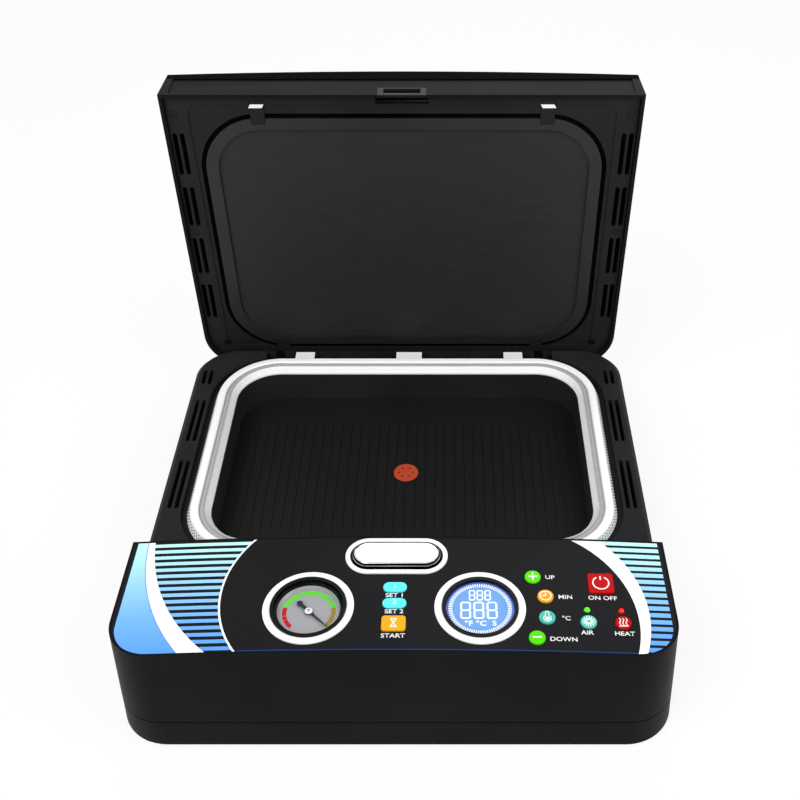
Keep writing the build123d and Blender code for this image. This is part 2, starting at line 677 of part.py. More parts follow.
surround_band = 2.9
with BuildPart() as trim_rings:
    for x in (-dial_x, dial_x):
        post(x, dial_y, dial_top - 6, dial_top + 6, trim_radius)
        post(x, dial_y, dial_top - 8, dial_top + 8, rim_radius + 0.1, Mode.SUBTRACT)
    with BuildSketch(Plane.XY.offset(dial_top - 6)):
        with Locations((0, button_y)):
            SlotOverall(well_length + key_gap + 2 * surround_band, well_width + key_gap + 2 * surround_band)
            SlotOverall(well_length + key_gap, well_width + key_gap, mode=Mode.SUBTRACT)
    extrude(amount=16)
    cut_at_crown(-trim_rise, 1)
    cut_at_crown(0, -1)
save(trim_rings.part, "trim_rings")

with BuildPart() as indicator_lamps:
    for x, y in lamps:
        post(x, y, board_z, panel_z(x) - 1.0, lamp_radius)
        with Locations((x, y, panel_z(x) - 1.0)):
            Sphere(lamp_radius)
save(indicator_lamps.part, "indicator_lamps")

# ---------------------------------------------------------------- keys
key_flange = 1.3
for name, (x, y, kind) in keys.items():
    reach = abs(x) + key_sizes[kind][0] / 2 + key_flange
    shoulder_z = panel_z(reach, ceiling_drop) - slip
    with BuildPart() as key:
        with BuildSketch(Plane.XY.offset(shoulder_z)):
            with Locations((x, y)):
                key_face(kind, 0)
        extrude(amount=panel_z(x) + key_rise - shoulder_z)
        fillet(key.faces().sort_by(Axis.Z)[-1].edges(), 0.4)
        with BuildSketch(Plane.XY.offset(shoulder_z)):
            with Locations((x, y)):
                key_face(kind, key_flange)
        extrude(amount=-1.2)
        post(x, y, board_z + switch_height + key_travel + 0.15, shoulder_z, 1.8)
    save(key.part, name)

# ---------------------------------------------------------------- release button and latch
button_top = panel_z(0) + button_rise
cap_z = panel_z(0) - 5
stem_radius = 4.0
cap_wall = 1.4
cap_top = 2.2
button_round = 2.6
stem_tip_z = latch_z + 2.9
with BuildPart() as button_well:
    with BuildSketch(Plane.XY.offset(well_floor_z)):
        with Locations((0, button_y)):
            SlotOverall(well_length, well_width)
    extrude(amount=panel_z(0) - well_floor_z)
    with BuildSketch(Plane.XY.offset(well_floor_z + 2)):
        with Locations((0, button_y)):
            SlotOverall(button_length + 2 * key_gap, button_width + 2 * key_gap)
    extrude(amount=panel_z(0), mode=Mode.SUBTRACT)
    post(0, button_y, well_floor_z - 1, well_floor_z + 3, stem_radius + slip, Mode.SUBTRACT)
    # ears under the panel's skin
    ear_top_z = panel_z(well_length / 2 + 4, ceiling_drop) - 0.2
    for side in (-1, 1):
        with Locations((side * (well_length / 2 + 1.6), button_y, ear_top_z - 1)):
            Box(4.4, 8, 2)
save(button_well.part, "button_well")

with BuildPart() as release_button:
    with BuildSketch(Plane.XY.offset(cap_z)):
        with Locations((0, button_y)):
            SlotOverall(button_length, button_width)
    extrude(amount=button_top - cap_z)
    fillet(release_button.faces().sort_by(Axis.Z)[-1].edges(), button_round)
    with BuildSketch(Plane.XY.offset(cap_z)):
        with Locations((0, button_y)):
            SlotOverall(button_length - 2 * cap_wall, button_width - 2 * cap_wall)
    extrude(amount=button_top - cap_top - cap_z, mode=Mode.SUBTRACT)
save(release_button.part, "release_button")

plunger_z = cap_z - 4
with BuildPart() as button_plunger:
    with BuildSketch(Plane.XY.offset(plunger_z)):
        with Locations((0, button_y)):
            SlotOverall(button_length - 2 * cap_wall - 0.2, button_width - 2 * cap_wall - 0.2)
    extrude(amount=button_top - cap_top - plunger_z)
    post(0, button_y, stem_tip_z + 3, plunger_z, stem_radius)
    block(-3, 3, button_y - 0.8, button_y + 0.8, stem_tip_z, stem_tip_z + 3)
save(button_plunger.part, "button_plunger")

spring_radius = 5.4
spring_wire = 0.6
spring_z0 = well_floor_z + 2 + spring_wire
spring_z1 = plunger_z - spring_wire
with BuildPart() as button_spring:
    with BuildLine() as coil:
        Helix(pitch=(spring_z1 - spring_z0) / 4, height=spring_z1 - spring_z0, radius=spring_radius,
              center=(0, button_y, spring_z0))
    with BuildSketch(Plane(origin=coil.line @ 0, z_dir=coil.line % 0)):
        Circle(spring_wire)
    sweep(path=coil.line, is_frenet=True)
save(button_spring.part, "button_spring")

hub_radius = 3.4
latch_pin_radius = 1.5
hook_plate = 3.0
hook_tip_y = lid_front_y + 3.7
lever = 13.0               # front end of the latch before its pivot
with BuildPart() as latch_hook:
    for side in (-1, 1):
        with BuildSketch(Plane.YZ.offset(side * (nose_half_x - hook_plate / 2) - hook_plate / 2)):
            with Locations((latch_y, latch_z)):
                Circle(hub_radius)
            with BuildLine():
                Polyline((latch_y - 1.8, latch_z), (latch_y - 1.8, nose_z + nose_height),
                         (latch_y + 5, nose_z + nose_height), (latch_y + 5, nose_z),
                         (latch_y + 1.8, nose_z - 3), (latch_y + 1.8, latch_z), close=True)
            make_face()
            with BuildLine():
                Polyline((latch_y, latch_z - 2.4), (latch_y - lever, latch_z - 1), (latch_y - lever, latch_z + 2.5),
                         (latch_y, latch_z + 2.5), close=True)
            make_face()
        extrude(amount=hook_plate)
    block(-nose_half_x, nose_half_x, latch_y - lever, latch_y - 6, latch_z - 0.6, latch_z + 2.5)
    with BuildSketch(Plane.YZ.offset(-nose_half_x)):
        with BuildLine():
            Polyline((latch_y + 3.5, nose_z), (hook_tip_y, nose_z), (hook_tip_y, nose_z + 1.2),
                     (hook_tip_y - 3, nose_z + nose_height), (latch_y + 3.5, nose_z + nose_height),
                     close=True)
        make_face()
    extrude(amount=2 * nose_half_x)
    with Locations((0, latch_y, latch_z)):
        Cylinder(latch_pin_radius + running_gap, 4 * nose_half_x, rotation=(0, 90, 0), mode=Mode.SUBTRACT)
save(latch_hook.part, "latch_hook")

ear_plate = 2.5
ear_x = nose_half_x + slip
with BuildPart() as latch_bracket:
    block(-ear_x - ear_plate, ear_x + ear_plate, module_back_y - wall - 1.5, module_back_y - wall,
          latch_z + 4, latch_z + 12)
    for side in (-1, 1):
        centre = side * (ear_x + ear_plate / 2)
        block(centre - ear_plate / 2, centre + ear_plate / 2, latch_y - 4, module_back_y - wall,
              latch_z + 2, latch_z + 12)
        block(centre - ear_plate / 2, centre + ear_plate / 2, latch_y - 4, latch_y + 4,
              latch_z - 4, latch_z + 3)
    with Locations((0, latch_y, latch_z)):
        Cylinder(latch_pin_radius, 4 * ear_x, rotation=(0, 90, 0), mode=Mode.SUBTRACT)
save(latch_bracket.part, "latch_bracket")

with BuildPart() as latch_pin:
    with Locations((0, latch_y, latch_z)):
        Cylinder(latch_pin_radius, 2 * (ear_x + ear_plate), rotation=(0, 90, 0))
save(latch_pin.part, "latch_pin")

# ---------------------------------------------------------------- hinges
ear_gap = 0.4
with BuildPart() as hinge_brackets:
    for side in (-1, 1):
        inside = arm_thickness / 2 + ear_gap
        outside = inside + bracket_plate
        centre = side * arm_x
        block(centre - outside, centre + outside, hinge_y - arm_boss, hinge_y + arm_boss,
              channel_z, channel_z + 2)
        for plate in (-1, 1):
            mid = centre + plate * (inside + outside) / 2
            block(mid - bracket_plate / 2, mid + bracket_plate / 2, hinge_y - arm_boss, hinge_y + arm_boss,
                  channel_z, hinge_z + arm_boss)
    with Locations((0, hinge_y, hinge_z)):
        Cylinder(hinge_pin_radius, 4 * arm_x, rotation=(0, 90, 0), mode=Mode.SUBTRACT)
save(hinge_brackets.part, "hinge_brackets")

with BuildPart() as hinge_pins:
    for side in (-1, 1):
        with Locations((side * arm_x, hinge_y, hinge_z)):
            Cylinder(hinge_pin_radius, arm_thickness + 2 * (ear_gap + bracket_plate), rotation=(0, 90, 0))
save(hinge_pins.part, "hinge_pins")

arm_foot = 12.0
with BuildPart() as hinge_arms:
    for side in (-1, 1):
        with BuildSketch(Plane.YZ.offset(side * arm_x - arm_thickness / 2)):
            with Locations((hinge_y, hinge_z)):
                Circle(arm_boss)
            with Locations((hinge_y, (hinge_z + liner_top_z) / 2)):
                Rectangle(2 * arm_half_y, liner_top_z - hinge_z)
        extrude(amount=arm_thickness)
        block(side * arm_x - arm_foot, side * arm_x + arm_foot, hinge_y - 6, hinge_y + 4.5,
              liner_top_z, liner_top_z + 3)
    with Locations((0, hinge_y, hinge_z)):
        Cylinder(hinge_pin_radius + running_gap, 4 * arm_x, rotation=(0, 90, 0), mode=Mode.SUBTRACT)
save(opened(hinge_arms.part), "hinge_arms")

# ---------------------------------------------------------------- lid shell
lid_rear_y = rear_y
liner_screws = [(side * (half_x - inset), chamber_y + behind) for side in (-1, 1)
                for inset, behind in ((9.0, -tray_half_y - 14.1), (8.5, -7.9), (18.0, tray_half_y + 9.1))]
lid_boss_radius = 3.6
liner_screw_radius = 1.4
front_border = 5.0
front_inset = 1.0
front_pocket_top_z = side_height - 6

with BuildPart() as lid_cavity:
    extrude(lid_plan(lid_rim_z - 0.01, lid_wall), amount=top_z - lid_rim_z, taper=draft)
    cut_at_crown(lid_wall, 1)
    split(bisect_by=Plane.XZ.offset(-lid_front_y - lid_wall), keep=Keep.BOTTOM)

with BuildPart() as lid_shell:
    extrude(lid_plan(lid_rim_z), amount=top_z - lid_rim_z + 1, taper=draft)
    cut_at_crown(0, 1)
    split(bisect_by=Plane.XZ.offset(-lid_front_y), keep=Keep.BOTTOM)
    add(lid_cavity.part, mode=Mode.SUBTRACT)
    block(lid_side_step + front_border - half_x, half_x - lid_side_step - front_border,
          lid_front_y - 1, lid_front_y + front_inset, lid_rim_z + 3, front_pocket_top_z, Mode.SUBTRACT)
    block(-striker_half_x, striker_half_x, lid_front_y - 1, lid_front_y + lid_wall + 1,
          lid_rim_z - 1, lid_rim_z + striker_height, Mode.SUBTRACT)
    for x, y in liner_screws:
        post(x, y, liner_top_z, panel_z(x, lid_wall) + 1, lid_boss_radius)
        post(x, y, liner_top_z - 1, liner_top_z + 9, liner_screw_radius, Mode.SUBTRACT)
save(opened(lid_shell.part), "lid_shell")

# ---------------------------------------------------------------- lid liner and membrane
liner_slots_behind = [-74.5, -30.3, 14.5, 58.5]
liner_slot_insets = [11.8, 6.5]
liner_slot_length = 34.0
liner_slot_width = 3.4
window_grow = lip_total - 2.0
frame_grow = window_grow - frame_groove
plate_margin = 5.2
clip_half_x = 5.0
clip_x_front, clip_x_rear = arm_x - 4.9, arm_x - 1.9
frame_front_y = chamber_y - tray_half_y - frame_grow
frame_rear_y = chamber_y + tray_half_y + frame_grow
clip_hold = 4.5            # how far a clip laps over the frame
clip_reach_front = 14.0
clip_reach_rear = 4.0
clip_thickness = 1.6


def clip_boxes(slack, z0, mode):
    """The four clips across the groove, or the notches that hold them."""
    z1 = frame_z + clip_thickness
    for side in (-1, 1):
        x = side * clip_x_front
        block(x - clip_half_x - slack, x + clip_half_x + slack, frame_front_y - clip_reach_front - slack,
              frame_front_y + clip_hold + slack, z0, z1, mode)
        x = side * clip_x_rear
        block(x - clip_half_x - slack, x + clip_half_x + slack, frame_rear_y - clip_hold - slack,
              frame_rear_y + clip_reach_rear + slack, z0, z1, mode)


with BuildPart() as lid_liner:
    extrude(lid_plan(liner_z, lid_wall + slip), amount=liner_thickness, taper=draft)
    split(bisect_by=Plane.XZ.offset(-lid_front_y - lid_wall - slip), keep=Keep.BOTTOM)
    # recessed plate around the membrane frame
    with BuildSketch(Plane.XY.offset(liner_z - 1)):
        with Locations((0, chamber_y - 4.5)):
            RectangleRounded(2 * (tray_half_x + window_grow + plate_margin),
                             2 * (tray_half_y + window_grow + plate_margin - 1), 7)
    extrude(amount=plate_z - liner_z + 1, mode=Mode.SUBTRACT)
    extrude(chamber_outline(liner_z - 1, window_grow), amount=liner_thickness + 2, mode=Mode.SUBTRACT)
    extrude(chamber_outline(liner_z - 1, window_grow + groove_ledge),
            amount=frame_z + clip_thickness - liner_z + 1, mode=Mode.SUBTRACT)
    for slot_inset in liner_slot_insets:
        with BuildSketch(Plane.XY.offset(liner_z - 1)):
            for slot_behind in liner_slots_behind:
                with Locations((slot_inset - half_x, chamber_y + slot_behind),
                               (half_x - slot_inset, chamber_y + slot_behind)):
                    SlotOverall(liner_slot_length, liner_slot_width, rotation=90)
        extrude(amount=liner_thickness + 2, mode=Mode.SUBTRACT)
    for x, y in liner_screws:
        post(x, y, liner_z - 1, liner_z + 1.2, liner_screw_radius + 1.5, Mode.SUBTRACT)
        post(x, y, liner_z - 1, liner_top_z + 1, liner_screw_radius + 0.1, Mode.SUBTRACT)
    for side in (-1, 1):
        block(side * arm_x - arm_thickness / 2 - slip, side * arm_x + arm_thickness / 2 + slip,
              hinge_y - arm_half_y - slip, hinge_y + arm_half_y + slip, liner_z - 1, liner_top_z + 1,
              Mode.SUBTRACT)
    block(-striker_half_x - 1.5, striker_half_x + 1.5, lid_front_y, lid_front_y + 9,
          liner_z - 1, liner_top_z + 1, Mode.SUBTRACT)
    clip_boxes(0.2, liner_z - 1, Mode.SUBTRACT)
save(opened(lid_liner.part), "lid_liner")

with BuildPart() as membrane_frame:
    extrude(chamber_outline(frame_z, frame_grow), amount=frame_height)
    extrude(chamber_outline(frame_z - 1, frame_grow - frame_band),
            amount=frame_height + 2, mode=Mode.SUBTRACT)
    extrude(chamber_outline(frame_z + 2, frame_grow - frame_band + 3),
            amount=frame_height, mode=Mode.SUBTRACT)
    clip_boxes(0.2, liner_z - 1, Mode.SUBTRACT)
save(opened(membrane_frame.part), "membrane_frame")

with BuildPart() as membrane:
    extrude(chamber_outline(frame_z + 2, frame_grow - frame_band + 3 - slip), amount=membrane_thickness)
save(opened(membrane.part), "membrane")

with BuildPart() as frame_clips:
    clip_boxes(0, frame_z, Mode.ADD)
save(opened(frame_clips.part), "frame_clips")

with BuildPart() as lid_screws:
    for x, y in liner_screws:
        post(x, y, liner_z + 0.2, liner_z + 1.2, liner_screw_radius + 1.3)
        post(x, y, liner_z + 0.2, liner_top_z + 8.5, liner_screw_radius - 0.05)
save(opened(lid_screws.part), "lid_screws")

bar_top_z = nose_z - 0.6
with BuildPart() as striker:
    block(-striker_half_x + 0.2, striker_half_x - 0.2, lid_front_y + 0.2, lid_front_y + 2.2,
          lid_rim_z + 0.2, lid_rim_z + striker_height - 0.2)
    block(-nose_half_x - 4, nose_half_x + 4, lid_front_y - 1, lid_front_y + 4, bar_top_z,
          nose_z + nose_height + 1.7, Mode.SUBTRACT)
save(opened(striker.part), "striker")

# ---------------------------------------------------------------- heater in the lid
reflector_half_x = tray_half_x + window_grow + 2.0
reflector_half_y = tray_half_y + window_grow + 2.0
reflector_top_z = panel_z(reflector_half_x, lid_wall) - insulation_thickness - 0.6
element_z = reflector_top_z - reflector_sheet - 1 - element_radius
with BuildPart() as reflector:
    with BuildSketch(Plane.XY.offset(liner_top_z)):
        with Locations((0, chamber_y)):
            RectangleRounded(2 * reflector_half_x, 2 * reflector_half_y, 10)
    extrude(amount=reflector_top_z - liner_top_z)
    with BuildSketch(Plane.XY.offset(liner_top_z)):
        with Locations((0, chamber_y)):
            RectangleRounded(2 * (reflector_half_x - reflector_sheet),
                             2 * (reflector_half_y - reflector_sheet), 10 - reflector_sheet)
    extrude(amount=reflector_top_z - liner_top_z - reflector_sheet, mode=Mode.SUBTRACT)
save(opened(reflector.part), "reflector")

element_half_x = reflector_half_x - reflector_sheet
with BuildPart() as heating_elements:
    for i in range(element_count):
        y = chamber_y + (i - (element_count - 1) / 2) * element_pitch
        with BuildSketch(Plane.YZ.offset(-element_half_x)):
            with Locations((y, element_z)):
                Circle(element_radius)
        extrude(amount=2 * element_half_x)
save(opened(heating_elements.part), "heating_elements")

with BuildPart() as insulation_pad:
    with BuildSketch(Plane.XY.offset(reflector_top_z)):
        with Locations((0, chamber_y)):
            RectangleRounded(2 * reflector_half_x - 4, 2 * reflector_half_y - 4, 8)
    extrude(amount=insulation_thickness)
save(opened(insulation_pad.part), "insulation_pad")
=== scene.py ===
import json
from contextlib import contextmanager
from math import atan2, cos, degrees, pi, radians, sin

import bpy
from mathutils import Matrix, Vector


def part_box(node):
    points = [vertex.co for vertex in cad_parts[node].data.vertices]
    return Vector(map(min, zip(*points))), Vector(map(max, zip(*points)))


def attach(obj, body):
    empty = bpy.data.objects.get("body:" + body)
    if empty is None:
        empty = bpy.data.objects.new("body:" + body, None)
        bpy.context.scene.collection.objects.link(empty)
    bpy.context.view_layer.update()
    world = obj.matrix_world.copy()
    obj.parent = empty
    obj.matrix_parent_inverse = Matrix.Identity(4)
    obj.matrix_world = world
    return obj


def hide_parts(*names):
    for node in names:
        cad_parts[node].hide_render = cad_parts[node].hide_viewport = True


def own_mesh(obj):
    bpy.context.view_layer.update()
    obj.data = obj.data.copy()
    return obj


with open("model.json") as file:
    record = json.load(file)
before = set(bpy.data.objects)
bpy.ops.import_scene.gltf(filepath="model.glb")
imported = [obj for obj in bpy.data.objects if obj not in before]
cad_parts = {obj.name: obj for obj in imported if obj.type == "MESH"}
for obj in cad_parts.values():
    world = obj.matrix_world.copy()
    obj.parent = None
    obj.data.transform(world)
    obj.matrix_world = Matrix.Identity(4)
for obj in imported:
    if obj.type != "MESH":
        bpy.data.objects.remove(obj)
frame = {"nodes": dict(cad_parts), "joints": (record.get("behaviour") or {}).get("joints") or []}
nodes = frame["nodes"]
joints = {joint["name"]: joint for joint in frame["joints"]}
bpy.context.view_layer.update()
mm = 0.001

# ---------------------------------------------------------------- camera
# It stands in front of the open machine at an operator's eye height and looks down into the tray.
# The frame is shifted a little, so that the machine sits in the middle of the picture.
camera_data = bpy.data.cameras.new("camera")
camera_data.sensor_width = 36
camera_data.lens = 49.33
camera_data.shift_x = -0.061
camera_data.shift_y = 0.024
camera = bpy.data.objects.new("camera", camera_data)
camera.location = (0.0327, -0.5615, 0.6011)
camera.rotation_euler = (radians(90 - 40.496), 0, 0)
bpy.context.scene.collection.objects.link(camera)
bpy.context.scene.camera = camera

# ---------------------------------------------------------------- studio
# A white table top that runs out of sight, a white room, and three soft boxes.
# The floor is partly self-lit for the camera, so it stays white and still takes the machine's shadow.


def linear(hex_colour):
    """A hex colour, as it is seen, in the linear values that shader sockets take."""
    parts = [int(hex_colour[i:i + 2], 16) / 255 for i in (1, 3, 5)]
    return [c / 12.92 if c <= 0.04045 else ((c + 0.055) / 1.055) ** 2.4 for c in parts] + [1]


def add(tree, kind, settings=None, values=None, links=None):
    """Adds a node with its settings, the values of its sockets and the sockets that feed it."""
    node = tree.nodes.new("ShaderNode" + kind)
    for name, value in (settings or {}).items():
        setattr(node, name, value)
    for socket, value in (values or {}).items():
        node.inputs[socket].default_value = value
    for socket, source in (links or {}).items():
        tree.links.new(source, node.inputs[socket])
    return node


def start_material(name, shader_values):
    """A new material, its node tree and its shader, with the values that are the same all over."""
    made = bpy.data.materials.new(name)
    made.use_nodes = True
    shader = made.node_tree.nodes["Principled BSDF"]
    for socket, value in shader_values.items():
        shader.inputs[socket].default_value = value
    return made, made.node_tree, shader


floor_size = 9.0
seen_white = 0.85          # share of the floor that is self-lit where it is seen
room_light = 0.55          # what the white room sheds on the machine

bpy.ops.object.select_all(action="DESELECT")
bpy.context.tool_settings.mesh_select_mode = (False, False, True)
bpy.ops.mesh.primitive_grid_add(x_subdivisions=8, y_subdivisions=8, size=floor_size, location=(0, 1, 0))
floor = bpy.context.object
floor.name = "floor"
white_paint, tree, shader = start_material("white_table_paint", {"Roughness": 0.7})
shader.inputs["Base Color"].default_value = linear("#f4f4f4")
path = add(tree, "LightPath")
seen = add(tree, "Math", {"operation": "MAXIMUM"},
           links={0: path.outputs["Is Camera Ray"], 1: path.outputs["Is Glossy Ray"]})
share = add(tree, "Math", {"operation": "MULTIPLY"}, {1: seen_white}, {0: seen.outputs[0]})
glow = add(tree, "Emission", values={"Color": linear("#ffffff"), "Strength": 1.0})
mixed = add(tree, "MixShader", links={0: share.outputs[0], 1: shader.outputs[0], 2: glow.outputs[0]})
tree.links.new(mixed.outputs[0], tree.nodes["Material Output"].inputs["Surface"])
floor.data.materials.append(white_paint)

room = bpy.data.worlds.new("white_room")
bpy.context.scene.world = room
room.use_nodes = True
tree = room.node_tree
path = add(tree, "LightPath")
seen = add(tree, "Math", {"operation": "MAXIMUM"},
           links={0: path.outputs["Is Camera Ray"], 1: path.outputs["Is Glossy Ray"]})
seen = add(tree, "Math", {"operation": "MAXIMUM"},
           links={0: seen.outputs[0], 1: path.outputs["Is Transmission Ray"]})
strength = add(tree, "MapRange", values={"To Min": room_light, "To Max": 1.0},
               links={"Value": seen.outputs[0]})
tree.links.new(strength.outputs["Result"], tree.nodes["Background"].inputs["Strength"])
tree.nodes["Background"].inputs["Color"].default_value = linear("#ffffff")

looked_at = Vector((0, 0, 0.08))       # the middle of the tray
soft_boxes = {             # place, watts, size
    "key_light": ((-0.7, -0.9, 1.5), 19, 1.0),
    "fill_light": ((1.1, -0.5, 1.0), 8, 0.8),
    "back_light": ((0.2, 1.3, 1.3), 4, 0.9),
}
for name, (place, watts, size) in soft_boxes.items():
    box_data = bpy.data.lights.new(name, "AREA")
    box_data.energy = watts
    box_data.size = size
    soft_box = bpy.data.objects.new(name, box_data)
    soft_box.location = place
    soft_box.rotation_euler = (looked_at - Vector(place)).to_track_quat("-Z", "Y").to_euler()
    bpy.context.scene.collection.objects.link(soft_box)
bpy.context.scene.view_settings.view_transform = "Standard"

# ---------------------------------------------------------------- housing
# Five injection-moulded shells in black ABS: base, control module, deck, hinge channel and lid.
# The tool was spark-eroded, which leaves a fine even grain that spreads every highlight.


def spots(tree):
    """Each spot's place on its own piece."""
    return add(tree, "TexCoord").outputs["Object"]


def noise(tree, place, scale, detail=2):
    """A cloudy value between 0 and 1; scale is its blobs to the metre."""
    made = add(tree, "TexNoise", values={"Scale": scale, "Detail": detail}, links={"Vector": place})
    return made.outputs["Fac"]


def contrast(tree, value):
    """Stretches the middle of a noise over the whole of 0 to 1."""
    made = add(tree, "MapRange", values={"From Min": 0.35, "From Max": 0.65}, links={"Value": value})
    return made.outputs[0]


def between(tree, value, first, second):
    """The colour that a value picks between two hex colours."""
    made = add(tree, "Mix", {"data_type": "RGBA"}, {6: linear(first), 7: linear(second)}, {0: value})
    return made.outputs[2]


def vary_gloss(tree, shader, value, low, high):
    """Lets a value move the roughness between two limits."""
    rough = add(tree, "MapRange", values={"To Min": low, "To Max": high}, links={"Value": value})
    tree.links.new(rough.outputs[0], shader.inputs["Roughness"])


def raise_skin(tree, shader, value, strength, depth):
    """Lets a value raise the surface, by up to a depth."""
    bump = add(tree, "Bump", values={"Strength": strength, "Distance": depth}, links={"Height": value})
    tree.links.new(bump.outputs[0], shader.inputs["Normal"])


flow_scale = 18            # flow marks to the metre


def moulded(name, colour, light_colour, grain, shader_values, relief=0.02, gloss=(0.42, 0.56)):
    """Moulded plastic or rubber: faint flow marks in the colour, and the grain of its tool."""
    made, tree, shader = start_material(name, shader_values)
    place = spots(tree)
    flow = contrast(tree, noise(tree, place, flow_scale, 3))
    tree.links.new(between(tree, flow, colour, light_colour), shader.inputs["Base Color"])
    pits = noise(tree, place, 1 / grain)
    vary_gloss(tree, shader, pits, *gloss)
    raise_skin(tree, shader, pits, 0.5, relief * mm)
    return made


def painted_shade_matt_border(material, past_y, past_z):
    """The strip over the lid's front pocket, which is etched matt, and painted almost black as painted shade.
    """
    tree = material.node_tree
    shader = tree.nodes["Principled BSDF"]
    axes = add(tree, "SeparateXYZ", links={0: spots(tree)})
    behind = add(tree, "Math", {"operation": "GREATER_THAN"}, {1: past_y}, {0: axes.outputs["Y"]})
    above = add(tree, "Math", {"operation": "GREATER_THAN"}, {1: past_z}, {0: axes.outputs["Z"]})
    painted_shade_strip = add(tree, "Math", {"operation": "MULTIPLY"}, links={0: behind.outputs[0], 1: above.outputs[0]})
    # painted shade: the strip's colour is mixed almost to black
    colour = add(tree, "Mix", {"data_type": "RGBA"}, {7: linear("#030303")},
                 {0: painted_shade_strip.outputs[0], 6: shader.inputs["Base Color"].links[0].from_socket})
    sheen = add(tree, "Mix", values={3: 0.95},
                links={0: painted_shade_strip.outputs[0], 2: shader.inputs["Roughness"].links[0].from_socket})
    tree.links.new(colour.outputs[2], shader.inputs["Base Color"])
    tree.links.new(sheen.outputs[0], shader.inputs["Roughness"])


def sheen_speckled_top(material, grain, up, above):
    """The lid's top, speckled lighter than the rest in its colour: painted sheen, for light that a deeper
    grain would catch; up is its direction.
    """
    tree = material.node_tree
    shader = tree.nodes["Principled BSDF"]
    place = spots(tree)
    height = add(tree, "VectorMath", {"operation": "DOT_PRODUCT"}, {1: up}, {0: place})
    top = add(tree, "Math", {"operation": "GREATER_THAN"}, {1: above}, {0: height.outputs["Value"]})
    # painted sheen: lighter flecks over the top
    painted_sheen_speckle = between(tree, contrast(tree, noise(tree, place, 1 / grain, 3)), "#151516", "#2b2b2d")
    colour = add(tree, "Mix", {"data_type": "RGBA"}, links={
        0: top.outputs[0], 6: shader.inputs["Base Color"].links[0].from_socket, 7: painted_sheen_speckle})
    tree.links.new(colour.outputs[2], shader.inputs["Base Color"])


def dress(material, *names):
    """Gives CAD nodes their finish."""
    for name in names:
        nodes[name].material_slots[0].material = material


spark_grain = 0.9 * mm     # coarser than the real 0.3 mm, so that it shows
housing_abs = moulded("black_ABS_spark_grain", "#0a0a0b", "#0f0f10", spark_grain,
                      {"IOR": 1.53, "Specular IOR Level": 0.05})
dress(housing_abs, "module_shell", "lower_shell", "hinge_channel")
lid_abs = moulded("black_ABS_lid", "#111112", "#161617", spark_grain,
                  {"IOR": 1.53, "Specular IOR Level": 0.05})
lid_low, lid_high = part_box("lid_shell")
hinge = Vector(joints["lid_hinge"]["pos_m"])
lid_swing = radians(joints["lid_hinge"]["range_deg"][1])
lid_up = Vector((0, sin(lid_swing), cos(lid_swing)))
top_grain = 1.4 * mm
top_height = 41.0 * mm     # where the top begins over the hinge, on the closed lid
strip_start = 24.0 * mm    # behind the open lid's front
strip_depth = 3.0 * mm     # below the open lid's upper end
sheen_speckled_top(lid_abs, top_grain, lid_up, hinge.dot(lid_up) + top_height)
painted_shade_matt_border(lid_abs, lid_low.y + strip_start, lid_high.z - strip_depth)
dress(lid_abs, "lid_shell")
deck_abs = moulded("black_ABS_deck", "#202022", "#262628", spark_grain,
                   {"IOR": 1.53, "Specular IOR Level": 0.04}, gloss=(0.5, 0.62))
dress(deck_abs, "deck_frame")
inner_abs = moulded("black_ABS_inside", "#0c0c0c", "#111111", spark_grain,
                    {"IOR": 1.53, "Specular IOR Level": 0.12})
dress(inner_abs, "button_well", "gauge_case", "button_plunger", "key_switches", "cord_gland")

# ---------------------------------------------------------------- feet and pads
# Four feet and the pump's mount, cast in soft black rubber with a matt, slightly dusty skin.
soft_rubber = moulded("black_natural_rubber", "#131313", "#1e1d1c", 0.6 * mm,
                      {"IOR": 1.5, "Specular IOR Level": 0.15}, relief=0.03, gloss=(0.7, 0.85))
dress(soft_rubber, "feet", "pump_mount")

# ---------------------------------------------------------------- panel film
# A polycarbonate film, printed from behind and glued into the module's recess: black with two white
# bands, pale stripes outside them that deepen to blue towards the operator, and a blue front line.
film_front_y = -166.9      # all of the artwork's sizes are in millimetres
film_corner = 21.8
film_corner_x, film_corner_y = 144.2, -145.1
left_field = ((-20.6, -76.1), 138.9)       # circle that the corner field lies outside
left_band = ((-20.9, -64.7), 134.9)        # circle that the left white band lies outside
left_arc = ((-34.0, -123.7), 72.2)         # circle with the thin white line
left_line = 1.2
field_edge = 0.5           # deeper blue line inside the corner field's circle
right_band_inner = ((69.3, -143.7), 77.1)
right_band_outer = ((68.8, -138.0), 84.4)
left_stripes = (-164.4, 5.16, 0.52)        # middle of the first, pitch, share that is bright
right_stripes = (-163.8, 5.22, 0.61)
front_line_start, front_line_end, front_line_width = -89.8, 142.8, 0.7
field_start = 40.0         # nothing is printed nearer the middle
fade_end_y = -80.0         # the stripes are palest from here on
film_black, film_white = "#101013", "#fbfbfb"

printed_film, tree, shader = start_material("printed_polycarbonate_film", {
    "IOR": 1.58, "Specular IOR Level": 0.08})
place = spots(tree)
spot = add(tree, "VectorMath", {"operation": "MULTIPLY"}, {1: (1000, 1000, 0)}, {0: place}).outputs[0]
axes = add(tree, "SeparateXYZ", links={0: spot})
across, along = axes.outputs["X"], axes.outputs["Y"]


def more(value, limit):
    """1 where a value is above a limit."""
    return add(tree, "Math", {"operation": "GREATER_THAN"}, {1: limit}, {0: value}).outputs[0]


def outside(circle):
    """1 where the film lies outside a circle."""
    away = add(tree, "VectorMath", {"operation": "DISTANCE"}, {1: (*circle[0], 0)}, {0: spot})
    return more(away.outputs["Value"], circle[1])


def both(first, second):
    """1 where both masks are 1."""
    return add(tree, "Math", {"operation": "MULTIPLY"}, links={0: first, 1: second}).outputs[0]


def without(first, second):
    """1 where the first mask is 1 and the second is not."""
    mask = add(tree, "Math", {"operation": "SUBTRACT", "use_clamp": True}, links={0: first, 1: second})
    return mask.outputs[0]


